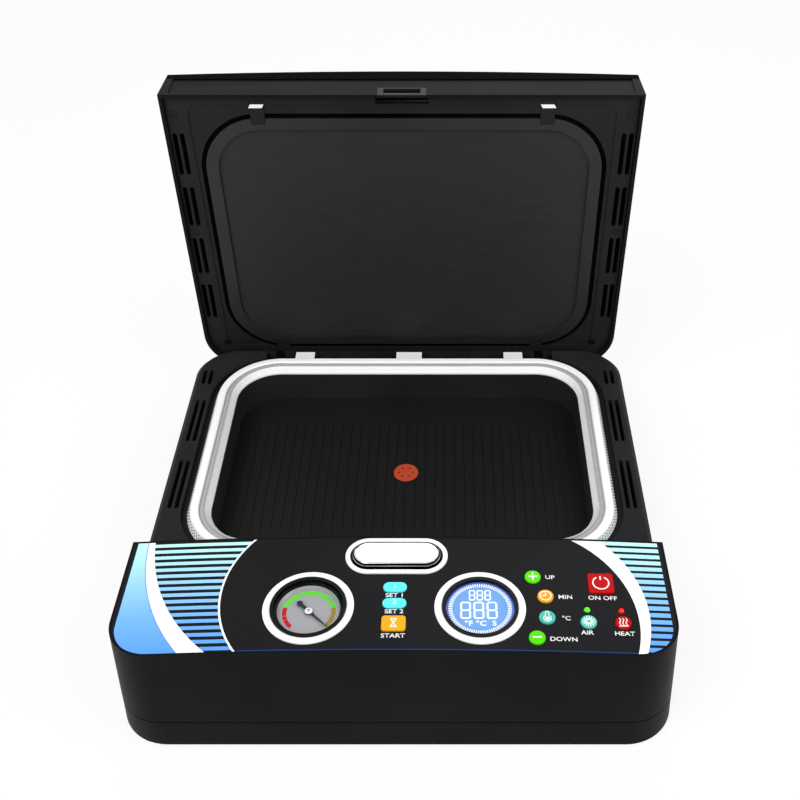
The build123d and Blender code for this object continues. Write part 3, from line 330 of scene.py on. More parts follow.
def striped(middle, pitch, share):
    """1 on the bright stripes of a field."""
    steps = add(tree, "Math", {"operation": "MULTIPLY_ADD"},
                {1: 1 / pitch, 2: share / 2 - middle / pitch}, {0: along})
    part = add(tree, "Math", {"operation": "FLOORED_MODULO"}, {1: 1.0}, {0: steps.outputs[0]})
    return add(tree, "Math", {"operation": "LESS_THAN"}, {1: share}, {0: part.outputs[0]}).outputs[0]


def painted(under, colour, mask):
    """One more ink over the ones before."""
    mix = add(tree, "Mix", {"data_type": "RGBA"}, links={0: mask, 6: under})
    if isinstance(colour, str):
        mix.inputs[7].default_value = linear(colour)
    else:
        tree.links.new(colour, mix.inputs[7])
    return mix.outputs[2]


# the artwork's rounded outline, from how far a spot lies out past the corners' centres
mirrored = add(tree, "Math", {"operation": "ABSOLUTE"}, links={0: across}).outputs[0]
out_x = add(tree, "Math", {"operation": "SUBTRACT"}, {1: film_corner_x}, {0: mirrored})
out_x = add(tree, "Math", {"operation": "MAXIMUM"}, {1: 0}, {0: out_x.outputs[0]})
out_y = add(tree, "Math", {"operation": "SUBTRACT"}, {0: film_corner_y}, {1: along})
out_y = add(tree, "Math", {"operation": "MAXIMUM"}, {1: 0}, {0: out_y.outputs[0]})
corner_spot = add(tree, "CombineXYZ", links={0: out_x.outputs[0], 1: out_y.outputs[0]})
reach = add(tree, "VectorMath", {"operation": "LENGTH"}, links={0: corner_spot.outputs[0]}).outputs["Value"]
inside = add(tree, "Math", {"operation": "LESS_THAN"}, {1: film_corner}, {0: reach}).outputs[0]

fade = add(tree, "MapRange", values={"From Min": film_front_y, "From Max": fade_end_y},
           links={"Value": along})
blues = add(tree, "ValToRGB", links={0: fade.outputs[0]})
for stop, colour in ((0.0, "#5a9dfb"), (0.3, "#74b2ff"), (0.65, "#9dd4fc")):
    step = blues.color_ramp.elements.new(stop) if stop else blues.color_ramp.elements[0]
    step.color = linear(colour)
blues.color_ramp.elements[-1].color = linear("#c3fbf8")
blue = blues.outputs[0]

right = more(across, field_start)
left = add(tree, "Math", {"operation": "LESS_THAN"}, {1: -field_start}, {0: across}).outputs[0]
ground = add(tree, "RGB")
ground.outputs[0].default_value = linear(film_black)
art = ground.outputs[0]
on_left = both(left, inside)
on_right = both(right, inside)
art = painted(art, blue, both(both(on_left, outside(left_arc)), striped(*left_stripes)))
art = painted(art, film_white, both(on_left, outside(left_band)))
art = painted(art, "#4f8df0", both(on_left, outside((left_field[0], left_field[1] - field_edge))))
art = painted(art, blue, both(on_left, outside(left_field)))
thin = without(outside((left_arc[0], left_arc[1] - left_line / 2)),
               outside((left_arc[0], left_arc[1] + left_line / 2)))
art = painted(art, film_white, both(without(on_left, outside(left_band)), thin))
art = painted(art, film_white, both(on_right, outside(right_band_inner)))
stripes = both(both(on_right, outside(right_band_outer)), striped(*right_stripes))
art = painted(art, film_black, both(on_right, outside(right_band_outer)))
art = painted(art, blue, stripes)
front = without(inside, more(along, film_front_y + front_line_width))
front = both(front, more(across, front_line_start))
front = without(front, more(across, front_line_end))
art = painted(art, "#173878", front)
tree.links.new(art, shader.inputs["Base Color"])
velvet = noise(tree, place, 1 / (0.5 * mm))
vary_gloss(tree, shader, velvet, 0.34, 0.46)
raise_skin(tree, shader, velvet, 0.3, 0.006 * mm)
dress(printed_film, "panel_film")

# ---------------------------------------------------------------- trim rings and bezels
# White acetal rings snapped round the gauge, the display and the button, with black rims inside them.
acetal = moulded("white_acetal_gloss", "#f1f1f0", "#f6f6f5", 1.4 * mm,
                 {"IOR": 1.48, "Specular IOR Level": 0.5}, relief=0.004, gloss=(0.2, 0.28))
dress(acetal, "trim_rings")
rim_black = moulded("black_acetal_gloss", "#060606", "#0a0a0b", 1.4 * mm,
                    {"IOR": 1.48, "Specular IOR Level": 0.12}, relief=0.004, gloss=(0.18, 0.3))
dress(rim_black, "bezel_rims")

# ---------------------------------------------------------------- release button
# A zinc die casting, chrome plated and polished on top; its flanks are painted black, a painted reflection of
# the dark well, with one bright line round them that is a painted highlight.
button_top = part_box("release_button")[1].z
flank_start, glint_start, glint_end = 0.3 * mm, 1.5 * mm, 1.9 * mm       # below the button's top
blend_depth = 0.1 * mm     # over which one finish turns into the next
coloured_depth = 10 * mm

chrome, tree, shader = start_material("bright_chrome_plate", {"Metallic": 1.0})
place = spots(tree)
axes = add(tree, "SeparateXYZ", links={0: place})
below = add(tree, "Math", {"operation": "SUBTRACT"}, {0: button_top}, {1: axes.outputs["Z"]})
depth = add(tree, "MapRange", values={"From Max": coloured_depth}, links={"Value": below.outputs[0]})
reflection_bands = add(tree, "ValToRGB", links={0: depth.outputs[0]})
# painted reflection and highlight: the colour goes black down the flanks, with one bright band on them
reflection_bands.color_ramp.elements[0].color = linear("#f2f3f5")
reflection_bands.color_ramp.elements[1].color = linear("#0a0a0b")
reflection_bands.color_ramp.elements[1].position = (flank_start + 2 * blend_depth) / coloured_depth
for spot, colour in ((flank_start, "#e8e9eb"), (glint_start, "#0a0a0b"), (glint_start + blend_depth, "#e4e5e7"),
                     (glint_end, "#e4e5e7"), (glint_end + blend_depth, "#0a0a0b")):
    reflection_bands.color_ramp.elements.new(spot / coloured_depth).color = linear(colour)
tree.links.new(reflection_bands.outputs[0], shader.inputs["Base Color"])
wiped = add(tree, "Mapping", values={"Scale": (30, 900, 900)}, links={"Vector": place})
vary_gloss(tree, shader, noise(tree, wiped.outputs[0], 1, 3), 0.04, 0.12)
dress(chrome, "release_button")


@contextmanager
def edit_mode():
    """Puts the piece in hand into edit mode for the lines inside."""
    bpy.ops.object.mode_set(mode="EDIT")
    yield
    bpy.ops.object.mode_set(mode="OBJECT")


def settle():
    """Makes the place, turn and size of the piece in hand part of its mesh."""
    bpy.ops.object.transform_apply(location=True, rotation=True, scale=True)


def ring(centre, radius, width, start=0, sweep=360, parts=1, gap=0):
    """A flat ring or arc of an outer radius, in parts with gaps between; angles in degrees from +X."""
    bpy.ops.mesh.primitive_circle_add(vertices=240, radius=radius, fill_type="NGON", location=centre)
    piece = bpy.context.object
    with edit_mode():
        bpy.ops.mesh.inset(thickness=width)
        bpy.ops.mesh.delete(type="FACE")
        bpy.ops.mesh.select_all(action="DESELECT")
    for face in piece.data.polygons:
        turned = (degrees(atan2(face.center.y, face.center.x)) - start) % 360
        face.select = turned > sweep or (parts > 1 and turned % (sweep / parts) < gap)
    with edit_mode():
        bpy.ops.mesh.delete(type="FACE")
    settle()
    return piece


def bar(centre, length, width, turn=0):
    """A flat bar along X, turned anticlockwise by an angle in degrees."""
    bpy.ops.mesh.primitive_plane_add(size=1, location=centre, rotation=(0, 0, radians(turn)))
    piece = bpy.context.object
    piece.scale = (length, width, 1)
    settle()
    return piece


def pick(pieces):
    """Selects pieces and takes the first in hand."""
    bpy.ops.object.select_all(action="DESELECT")
    for piece in pieces:
        piece.select_set(True)
    bpy.context.view_layer.objects.active = pieces[0]


def joined(name, pieces):
    """Several pieces made one, under a name."""
    pick(pieces)
    if len(pieces) > 1:
        bpy.ops.object.join()
    pieces[0].name = name
    return pieces[0]


def apply_modifiers(piece):
    """Makes a piece's modifiers part of its mesh."""
    pick([piece])
    for modifier in list(piece.modifiers):
        bpy.ops.object.modifier_apply(modifier=modifier.name)


def thicken(piece, thickness, side):
    """Makes a sheet solid, to the side that it faces (1) or behind it (-1)."""
    solid = piece.modifiers.new("solid", "SOLIDIFY")
    solid.thickness = thickness
    solid.offset = side
    apply_modifiers(piece)


start_above = 1 * mm       # flat artwork is drawn this far over the surface that it is laid on


def printed(piece, surface, body, material, thickness=0.12 * mm):
    """Lays flat artwork on the node below it, as a raised layer of ink that moves with a body."""
    wrap = piece.modifiers.new("lie_on_surface", "SHRINKWRAP")
    wrap.target = nodes[surface]
    wrap.wrap_method = "PROJECT"
    wrap.use_project_z = True
    wrap.use_positive_direction = False
    wrap.use_negative_direction = True
    wrap.offset = 0.03 * mm
    thicken(piece, thickness, 1)
    piece.data.materials.clear()
    piece.data.materials.append(material)
    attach(piece, body)


# ---------------------------------------------------------------- vacuum gauge
# A stamped dial with a printed scale under a glass, inside a bright ring; the needle turns on a pin
# with a white cap.
dial_low, dial_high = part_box("gauge_dial")
dial_middle = (dial_low + dial_high) / 2
dial_radius = (dial_high.x - dial_low.x) / 2
scale_radius = 16.1 * mm
scale_width = 2.6 * mm
scale_gap = 0.7            # degrees between two parts
scale_arcs = {             # ink, start, sweep, parts
    "gauge_scale_low": ("#d0060c", 166, 62, 5),
    "gauge_scale_working": ("#5fe61f", 14, 151, 12),
    "gauge_scale_high": ("#a98a1e", -44, 57, 5),
}

dial_metal, tree, shader = start_material("painted_steel_dial", {
    "Metallic": 0.2, "Roughness": 0.45, "Base Color": linear("#a9abae")})
grit = noise(tree, spots(tree), 1 / (0.4 * mm))
raise_skin(tree, shader, grit, 0.2, 0.01 * mm)
dress(dial_metal, "gauge_dial")

for name, (ink_colour, start, sweep, parts) in scale_arcs.items():
    scale_ink = moulded(name + "_ink", ink_colour, ink_colour, 0.5 * mm,
                        {"IOR": 1.5, "Specular IOR Level": 0.3}, relief=0.003)
    arc = ring((dial_middle.x, dial_middle.y, dial_high.z + start_above), scale_radius, scale_width,
               start, sweep, parts, scale_gap)
    printed(joined(name, [arc]), "gauge_dial", "housing", scale_ink)

liner_height = 2.2 * mm
liner_gap = 0.02 * mm      # over the dial
liner_taper = 0.06         # share that its foot is narrower by
liner_middle = (dial_middle.x, dial_middle.y, dial_high.z + liner_height / 2 + liner_gap)
bpy.ops.mesh.primitive_cylinder_add(vertices=96, radius=dial_radius - 0.1 * mm, depth=liner_height,
                                    end_fill_type="NOTHING", location=liner_middle)
liner = bpy.context.object
liner.name = "gauge_liner"
settle()
for vertex in liner.data.vertices:
    if vertex.co.z < dial_middle.z + liner_height / 2:
        vertex.co -= Vector((vertex.co.x - dial_middle.x, vertex.co.y - dial_middle.y, 0)) * liner_taper
thicken(liner, 0.4 * mm, -1)
bpy.ops.object.shade_smooth_by_angle(angle=radians(40))
bright_ring = moulded("bright_anodised_ring", "#c4c5c8", "#d4d5d8", 0.8 * mm,
                      {"Metallic": 0.7}, relief=0.003, gloss=(0.25, 0.35))
liner.data.materials.append(bright_ring)
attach(liner, "housing")

needle_black = moulded("black_enamelled_steel", "#070707", "#0c0c0c", 0.6 * mm,
                       {"IOR": 1.5, "Specular IOR Level": 0.4}, relief=0.004, gloss=(0.25, 0.35))
dress(needle_black, "gauge_needle")
needle_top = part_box("gauge_needle")[1].z
hinge_spot = Vector(joints["needle_turn"]["pos_m"])
cap_radius = 2.5 * mm
cap_flatness = 0.22        # share of a ball's height
bpy.ops.mesh.primitive_uv_sphere_add(segments=32, ring_count=12, radius=cap_radius,
                                     location=(hinge_spot.x, hinge_spot.y, needle_top))
cap = bpy.context.object
cap.name = "needle_cap"
cap.scale = (1, 1, cap_flatness)
settle()
with edit_mode():
    bpy.ops.mesh.select_all(action="SELECT")
    bpy.ops.mesh.bisect(plane_co=(hinge_spot.x, hinge_spot.y, needle_top), plane_no=(0, 0, 1),
                        clear_inner=True, use_fill=True)
bpy.ops.object.shade_smooth_by_angle(angle=radians(40))
cap.data.materials.append(acetal)
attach(cap, "needle")

lens_glass, tree, shader = start_material("clear_mineral_glass", {
    "IOR": 1.5, "Alpha": 0.05, "Specular IOR Level": 0.5, "Base Color": linear("#0a1016")})
vary_gloss(tree, shader, noise(tree, spots(tree), 60, 4), 0.03, 0.1)
dress(lens_glass, "gauge_lens", "display_lens")

# ---------------------------------------------------------------- display
# A round backlit liquid crystal panel under a polariser sheet, with a ring of short marks and two rows
# of digits, all lit, as when the machine tests itself at switching on.
face_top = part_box("display_module")[1].z
lens_low, lens_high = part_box("display_lens")
face_middle = (lens_low + lens_high) / 2
mark_count = 84
mark_outer, mark_inner = 19.2 * mm, 16.7 * mm
mark_width = 0.62 * mm

backlight, tree, shader = start_material("backlit_blue_display", {
    "IOR": 1.5, "Roughness": 0.3, "Emission Strength": 0.3})
place = spots(tree)
centred = add(tree, "VectorMath", {"operation": "SUBTRACT"},
              {1: (face_middle.x, face_middle.y, 0)}, {0: place})
flat_spot = add(tree, "VectorMath", {"operation": "MULTIPLY"}, {1: (1, 1, 0)}, {0: centred.outputs[0]})
length = add(tree, "VectorMath", {"operation": "LENGTH"}, links={0: flat_spot.outputs[0]})
spread = add(tree, "MapRange", values={"From Max": mark_outer}, links={"Value": length.outputs["Value"]})
glow = add(tree, "ValToRGB", links={0: spread.outputs[0]})
glow.color_ramp.elements[0].color = linear("#6a9fd6")
glow.color_ramp.elements[1].color = linear("#3a62b8")
glow.color_ramp.elements.new(0.85).color = linear("#5a8ed0")
cells = add(tree, "TexNoise", values={"Scale": 600, "Detail": 1}, links={"Vector": place})
tint = add(tree, "Mix", {"data_type": "RGBA", "blend_type": "SOFT_LIGHT"}, {0: 0.1},
           {6: glow.outputs[0], 7: cells.outputs["Color"]})
tree.links.new(tint.outputs[2], shader.inputs["Base Color"])
tree.links.new(tint.outputs[2], shader.inputs["Emission Color"])
dress(backlight, "display_module")

sheet_thickness = 0.01 * mm
sheet_play = 0.2 * mm      # inside the lens's edge
bpy.ops.mesh.primitive_circle_add(vertices=96, radius=(lens_high.x - lens_low.x) / 2 - sheet_play,
                                  fill_type="NGON",
                                  location=(face_middle.x, face_middle.y, face_top + sheet_thickness))
polariser = bpy.context.object
polariser.name = "display_polariser"
settle()
thicken(polariser, sheet_thickness, 1)
polariser.data.materials.append(backlight)
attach(polariser, "housing")

segment_white, tree, shader = start_material("lit_white_segments", {
    "IOR": 1.5, "Roughness": 0.35, "Emission Strength": 0.35,
    "Emission Color": linear("#ffffff")})
patches = noise(tree, spots(tree), 300)
tree.links.new(between(tree, patches, "#f2f7ff", "#ffffff"), shader.inputs["Base Color"])

above_face = face_top + start_above
thin_ink = 0.05 * mm
mark_reach = (mark_outer + mark_inner) / 2
marks = []
for count in range(mark_count):
    turn = 360 * count / mark_count
    out_x, out_y = mark_reach * cos(radians(turn)), mark_reach * sin(radians(turn))
    marks.append(bar((face_middle.x + out_x, face_middle.y + out_y, above_face),
                     mark_outer - mark_inner, mark_width, turn))
printed(joined("display_marks", marks), "display_module", "housing", segment_white,
        thin_ink)


def digit(x, y, width, height, stroke):
    """One digit with all seven of its segments lit, about a place on the display."""
    half = (height - stroke) / 2
    strokes = [bar((x, y + k * half, above_face), width - 1.5 * stroke, stroke) for k in (-1, 0, 1)]
    for side in (-1, 1):
        for up in (-1, 1):
            strokes.append(bar((x + side * (width - stroke) / 2, y + up * half / 2, above_face),
                               half - 0.9 * stroke, stroke, 90))
    return strokes


cap_share = 0.69           # height of a capital over the size of the letters
letter_width = 1.12        # wider than the face is drawn


def words(text, x, y, z, cap_height, weight):
    """Flat letters about a place, in a plain upright face."""
    bpy.ops.object.text_add(location=(x, y, z))
    letters = bpy.context.object
    letters.data.body = text
    letters.data.size = cap_height / cap_share
    letters.data.offset = weight
    letters.data.align_x = "CENTER"
    letters.data.align_y = "CENTER"
    letters.data.resolution_u = 4
    letters.scale.x = letter_width
    bpy.ops.object.convert(target="MESH")
    settle()
    return bpy.context.object


digit_rows = (             # in mm from the middle: across, up; then width, height and stroke
    ((-4.7, 0, 4.7), 10.2, 3.9, 8.0, 0.75),
    ((-8.7, -0.8, 7.1), -1.4, 6.4, 13.0, 1.05),
)
units = (("\N{DEGREE SIGN}F", -7.0), ("\N{DEGREE SIGN}C", 0.4), ("S", 8.2))      # and how far across
units_up, units_height, units_weight = -11.4, 3.6, 0.1
segments = []
for places, up, *sizes in digit_rows:
    for across in places:
        segments += digit(face_middle.x + across * mm, face_middle.y + up * mm,
                          *(size * mm for size in sizes))
for text, across in units:
    segments.append(words(text, face_middle.x + across * mm, face_middle.y + units_up * mm, above_face,
                          units_height * mm, units_weight * mm))
printed(joined("display_digits", segments), "display_module", "housing", segment_white,
        thin_ink)

# ---------------------------------------------------------------- keys
# Translucent silicone keys that stand through the film, each with a faint glow in its colour that is painted
# light, with a white sign printed on top.


def key_rubber_painted_glow(name, colour, light_colour):
    """Translucent silicone with a faint glow in its own colour, painted light."""
    return moulded(name, colour, light_colour, 0.7 * mm, {
        "IOR": 1.43, "Specular IOR Level": 0.12, "Subsurface Weight": 0.1, "Subsurface Scale": 2 * mm,
        "Emission Strength": 0.12, "Emission Color": linear(colour)}, relief=0.008, gloss=(0.3, 0.42))


key_colours = {
    "green": key_rubber_painted_glow("green_silicone_key", "#50d00c", "#5cdd14"),
    "cyan": key_rubber_painted_glow("cyan_silicone_key", "#52e0ea", "#62edf5"),
    "amber": key_rubber_painted_glow("amber_silicone_key", "#dc9a14", "#e4a820"),
    "teal": key_rubber_painted_glow("teal_silicone_key", "#47afa3", "#58beb2"),
    "red": key_rubber_painted_glow("red_silicone_key", "#ac0303", "#ba0707"),
}
key_inks = {
    "key_increase": "green", "key_decrease": "green", "key_preset_1": "cyan", "key_preset_2": "cyan",
    "key_time": "amber", "key_timing": "amber", "key_temperature": "teal", "key_vacuum": "teal",
    "key_heating": "red", "key_power": "red",
}
for name, colour in key_inks.items():
    dress(key_colours[colour], name)

sign_ink = moulded("white_screen_ink", "#f4f4f4", "#fbfbfb", 0.5 * mm,
                   {"IOR": 1.5, "Specular IOR Level": 0.3}, relief=0.003)


def key_place(name):
    """The middle of a key's top, and a height just above it."""
    low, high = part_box(name)
    return (low.x + high.x) / 2, (low.y + high.y) / 2, high.z + start_above


wave_swing = 0.42 * mm
wave_share = 0.85          # of a wavy line's length that one wave takes


def wave(centre, length, width):
    """A flat wavy line along Y."""
    bpy.ops.mesh.primitive_grid_add(x_subdivisions=1, y_subdivisions=14, size=1, location=centre)
    piece = bpy.context.object
    piece.scale = (width, length, 1)
    settle()
    for vertex in piece.data.vertices:
        vertex.co.x += wave_swing * sin(2 * pi * (vertex.co.y - centre[1]) / (length * wave_share))
    return piece


blade_count, blade_reach, blade_lean = 14, 2.5, 14      # of the fan; reach in mm, lean in degrees
blade_turns = [360 * count / blade_count for count in range(blade_count)]
signs = {                  # each stroke: shape, place from the key's middle and two sizes in mm, angles
    "increase": ((bar, 0, 0, 5.6, 0.9), (bar, 0, -1.625, 2.35, 0.9, 90), (bar, 0, 1.625, 2.35, 0.9, 90)),
    "decrease": ((bar, 0, 0, 5.4, 0.9),),
    "time": ((ring, 0, 0, 3.7, 0.65), (bar, -1.1, 0, 1.6, 0.6), (bar, 0, 1.0, 2.6, 0.6, 90)),
    "temperature": ((ring, 0, -1.2, 2.5, 0.55, 120, 300), (ring, 0, -1.2, 1.3, 1.25),
                    (ring, 0, 2.9, 1.25, 0.55, 0, 180),
                    (bar, -0.97, 1.9, 2.2, 0.55, 90), (bar, 0.97, 1.9, 2.2, 0.55, 90)),
    "vacuum": [(bar, blade_reach * cos(radians(turn)), blade_reach * sin(radians(turn)), 2.9, 0.55,
                turn + blade_lean) for turn in blade_turns],
    "heating": ((wave, -1.9, 0.6, 5.0, 0.6), (wave, 0, 0.6, 5.0, 0.6), (wave, 1.9, 0.6, 5.0, 0.6),
                (bar, 0, -2.7, 5.4, 0.7)),
    "power": ((ring, 0, 0, 5.3, 0.85, 118, 304), (bar, 0, 3.9, 3.0, 0.9, 90)),
    "timing": ((bar, 0, -2.9, 4.2, 0.7), (bar, 0, 2.9, 4.2, 0.7), (bar, 0, 0, 5.6, 0.65, 60),
               (bar, -0.86, 1.49, 2.16, 0.65, -60), (bar, 0.86, -1.49, 2.16, 0.65, -60)),
}
for name, strokes in signs.items():
    x, y, z = key_place("key_" + name)
    drawn = [shape((x + right_of * mm, y + behind * mm, z), length * mm, width * mm, *angles)
             for shape, right_of, behind, length, width, *angles in strokes]
    printed(joined("sign_" + name, drawn), "key_" + name, "key_" + name, sign_ink)

number_up, number_height, number_weight = 0.4 * mm, 3.4 * mm, 0.05 * mm
for name in ("preset_1", "preset_2"):
    x, y, z = key_place("key_" + name)
    number = words(name[-1], x, y + number_up, z, number_height, number_weight)
    printed(joined("sign_" + name, [number]), "key_" + name, "key_" + name, sign_ink)

# ---------------------------------------------------------------- captions
# Plain words beside the keys, screen printed on the film in white.
above_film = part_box("panel_film")[1].z + start_above
caption_height, caption_weight = 3.0 * mm, 0.07 * mm
captions = {               # words, and in mm how far right of their key and behind it they stand
    "key_increase": ("UP", 10.6, 0.2), "key_decrease": ("DOWN", 15.6, -0.6), "key_time": ("MIN", 12.1, 0),
    "key_temperature": ("\N{DEGREE SIGN}C", 11.4, -0.2), "key_power": ("ON OFF", 0, -11.4),
    "key_vacuum": ("AIR", -1.5, -7.8), "key_heating": ("HEAT", 0, -7.8), "key_timing": ("START", 0, -9.0),
    "key_preset_1": ("SET 1", 0, -6.2), "key_preset_2": ("SET 2", 0, -6.2),
}
lettering = []
for name, (text, right_of, behind) in captions.items():
    x, y, z = key_place(name)
    lettering.append(words(text, x + right_of * mm, y + behind * mm, above_film,
                           caption_height, caption_weight))
printed(joined("panel_captions", lettering), "panel_film", "housing", sign_ink, thin_ink)

# ---------------------------------------------------------------- indicator lamps
# Two round lamps: green tells that the pump runs and red that the lid heats.
lamp_low, lamp_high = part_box("indicator_lamps")
lamp_lens, tree, shader = start_material("tinted_acrylic_lamp", {
    "IOR": 1.49, "Roughness": 0.25, "Emission Strength": 0.3})
axes = add(tree, "SeparateXYZ", links={0: spots(tree)})
tint = between(tree, more(axes.outputs["X"], (lamp_low.x + lamp_high.x) / 2), "#4bd818", "#d00505")
tree.links.new(tint, shader.inputs["Base Color"])
tree.links.new(tint, shader.inputs["Emission Color"])
dress(lamp_lens, "indicator_lamps")

# ---------------------------------------------------------------- seal ring
# One moulding in white silicone: an outer and an inner lip, with a groove between them that is painted grey
# as painted shade.  Small pips stand in the groove, and three rows of vents are pressed into the outer flank.
mat_low, mat_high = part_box("tray_mat")
seal_height = 32.2 * mm    # of the lips over the mat's underside
seal_top_z = mat_low.z + seal_height
chamber = (mat_low + mat_high) / 2
mat_gap = 0.3 * mm         # round the mat, to the inside of the pan
well_x = (mat_high.x - mat_low.x) / 2 + mat_gap
well_y = (mat_high.y - mat_low.y) / 2 + mat_gap
well_corner = 32.0 * mm
groove_start, groove_end = 3.5 * mm, 8.3 * mm         # out from the pan's inside
flank_zone, zones_end = 14.3 * mm, 17.0 * mm
pip_row = 6.35 * mm
pip_pitch = 3.0 * mm
pip_radius = 1.35 * mm
pip_drop = 2.9 * mm        # below the lips
pip_flatness = 0.8         # share of a ball's height
vent_rows = ((14.75, 1.9), (15.75, 3.4), (16.55, 4.9))     # out from the pan, below the lips
vent_radius = 0.5 * mm
vent_flatness = 0.35
vent_tilt = radians(60)    # as the outer flank leans

seal_white, tree, shader = start_material("white_silicone_seal", {
    "IOR": 1.41, "Specular IOR Level": 0.4, "Subsurface Weight": 0.05, "Subsurface Scale": 1.5 * mm})
place = spots(tree)
centred = add(tree, "VectorMath", {"operation": "SUBTRACT"}, {1: (chamber.x, chamber.y, 0)}, {0: place})
mirrored = add(tree, "VectorMath", {"operation": "ABSOLUTE"}, links={0: centred.outputs[0]})
past = add(tree, "VectorMath", {"operation": "SUBTRACT"},
           {1: (well_x - well_corner, well_y - well_corner, 1)}, {0: mirrored.outputs[0]})
past = add(tree, "VectorMath", {"operation": "MAXIMUM"}, {1: (0, 0, 0)}, {0: past.outputs[0]})
length = add(tree, "VectorMath", {"operation": "LENGTH"}, links={0: past.outputs[0]})
out = add(tree, "MapRange", values={"From Min": well_corner, "From Max": well_corner + zones_end},
          links={"Value": length.outputs["Value"]})
zones_and_groove_shade = add(tree, "ValToRGB", links={0: out.outputs[0]})
zones_and_groove_shade.color_ramp.interpolation = "CONSTANT"
zones_and_groove_shade.color_ramp.elements[0].color = linear("#fbfbfb")
zones_and_groove_shade.color_ramp.elements[1].color = linear("#f0f0f0")
zones_and_groove_shade.color_ramp.elements[1].position = flank_zone / zones_end
# the groove's grey is painted shade
zones_and_groove_shade.color_ramp.elements.new(groove_start / zones_end).color = linear("#b4b4b4")
zones_and_groove_shade.color_ramp.elements.new(groove_end / zones_end).color = linear("#fdfdfd")
cloud = add(tree, "TexNoise", values={"Scale": 40, "Detail": 3}, links={"Vector": place})
tint = add(tree, "Mix", {"data_type": "RGBA", "blend_type": "MULTIPLY"}, {0: 0.06},
           {6: zones_and_groove_shade.outputs[0], 7: cloud.outputs["Color"]})
tree.links.new(tint.outputs[2], shader.inputs["Base Color"])
vary_gloss(tree, shader, noise(tree, place, 1 / (0.8 * mm)), 0.36, 0.5)
dress(seal_white, "seal_ring")


def well_outline(grow, z):
    """A flat sheet with the pan's outline, a distance larger all round."""
    bpy.ops.mesh.primitive_plane_add(size=1, location=(chamber.x, chamber.y, z))
    sheet = bpy.context.object
    sheet.scale = (2 * (well_x + grow), 2 * (well_y + grow), 1)
    settle()
    with edit_mode():
        bpy.ops.mesh.select_all(action="SELECT")
        bpy.ops.mesh.bevel(offset=well_corner + grow, segments=24, affect="VERTICES")
        bpy.ops.mesh.select_all(action="SELECT")
    return sheet


def round_the_well(grow, z):
    """A closed curve round the pan, a distance out from its inside."""
    line = well_outline(grow, z)
    with edit_mode():
        bpy.ops.mesh.delete(type="ONLY_FACE")
    bpy.ops.object.convert(target="CURVE")
    return bpy.context.object


def row_round(name, grow, z, radius, flatness, tilt, shift):
    """A row of small domes along that curve, a pitch apart; tilt leans them outward."""
    line = round_the_well(grow, z)
    bpy.ops.mesh.primitive_uv_sphere_add(segments=8, ring_count=5, radius=radius, rotation=(tilt, 0, 0))
    dome = bpy.context.object
    dome.name = name
    dome.scale.z = flatness
    settle()
    dome.data.transform(Matrix.Translation((shift, 0, 0)))
    repeat = dome.modifiers.new("row", "ARRAY")
    repeat.fit_type = "FIT_CURVE"
    repeat.curve = line
    repeat.use_relative_offset = False
    repeat.use_constant_offset = True
    repeat.constant_offset_displace = (pip_pitch, 0, 0)
    bend = dome.modifiers.new("round_the_well", "CURVE")
    bend.object = line
    apply_modifiers(dome)
    bpy.data.objects.remove(line)
    bpy.ops.object.shade_smooth()
    return dome


pips = row_round("seal_pips", pip_row, seal_top_z - pip_drop, pip_radius, pip_flatness, 0, 0)
# The pips are of the seal's white silicone; their grey is painted shade, where they sit down in the groove.
pip_painted_shade = moulded("white_silicone_pips_painted_shade", "#a9a9a9", "#b6b6b6", 0.8 * mm,
                       {"IOR": 1.41, "Specular IOR Level": 0.4}, relief=0.004, gloss=(0.36, 0.5))
pips.data.materials.append(pip_painted_shade)
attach(pips, "housing")

vents = joined("seal_vents", [
    row_round("vent", out_by * mm, seal_top_z - down * mm, vent_radius, vent_flatness, vent_tilt,
              count * pip_pitch / 2)
    for count, (out_by, down) in enumerate(vent_rows)])
# The vents are drawn as small dark domes: painted shade standing in for the holes.
vent_shade = moulded("vent_recess_painted_shade", "#2c2c2c", "#3a3a3a", 0.4 * mm,
                     {"IOR": 1.41, "Specular IOR Level": 0.1}, relief=0.004, gloss=(0.6, 0.7))
vents.data.materials.append(vent_shade)
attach(vents, "housing")

# ---------------------------------------------------------------- tray, mat and port
# A pressed steel pan with a black non-stick coat, a ribbed rubber mat, and a red silicone disc over
# the vacuum port.
pan_coat = moulded("black_nonstick_coat", "#1c1c1d", "#232324", 0.7 * mm,
                   {"IOR": 1.5, "Specular IOR Level": 0.3}, relief=0.012, gloss=(0.35, 0.5))
dress(pan_coat, "tray")

rib_pitch = 3.7 * mm
wave_bands = 20            # what the wave texture multiplies its scale by
mat_rubber, tree, shader = start_material("black_ribbed_rubber", {"IOR": 1.5, "Specular IOR Level": 0.2})
place = spots(tree)
cloud = noise(tree, place, 22, 4)
tree.links.new(between(tree, cloud, "#0a0a0a", "#111111"), shader.inputs["Base Color"])
ribs = add(tree, "TexWave", {"bands_direction": "X"}, {"Scale": 2 * pi / (wave_bands * rib_pitch)},
           {"Vector": place})
grit = noise(tree, place, 1 / (0.7 * mm))
height = add(tree, "Math", {"operation": "MULTIPLY_ADD"}, {1: 0.1}, {0: grit, 2: ribs.outputs["Fac"]})
raise_skin(tree, shader, height.outputs[0], 0.4, 0.2 * mm)
vary_gloss(tree, shader, grit, 0.45, 0.65)
dress(mat_rubber, "tray_mat")

port_silicone = moulded("red_silicone_disc", "#a1381c", "#b24527", 0.9 * mm,
                        {"IOR": 1.41, "Specular IOR Level": 0.3}, relief=0.03, gloss=(0.5, 0.65))
dress(port_silicone, "vacuum_port")

# ---------------------------------------------------------------- lid
# The liner and its clips are moulded like the housing; the membrane is a black silicone sheet in an
# anodised frame.  A thin near-black sheet in the groove round the frame is painted shade, and each front clip
# has a white stop.
liner_abs = moulded("black_ABS_lid_liner", "#1a1a1b", "#1f1f20", spark_grain,
                    {"IOR": 1.53, "Specular IOR Level": 0.12}, gloss=(0.4, 0.52))
dress(liner_abs, "lid_liner", "frame_clips")

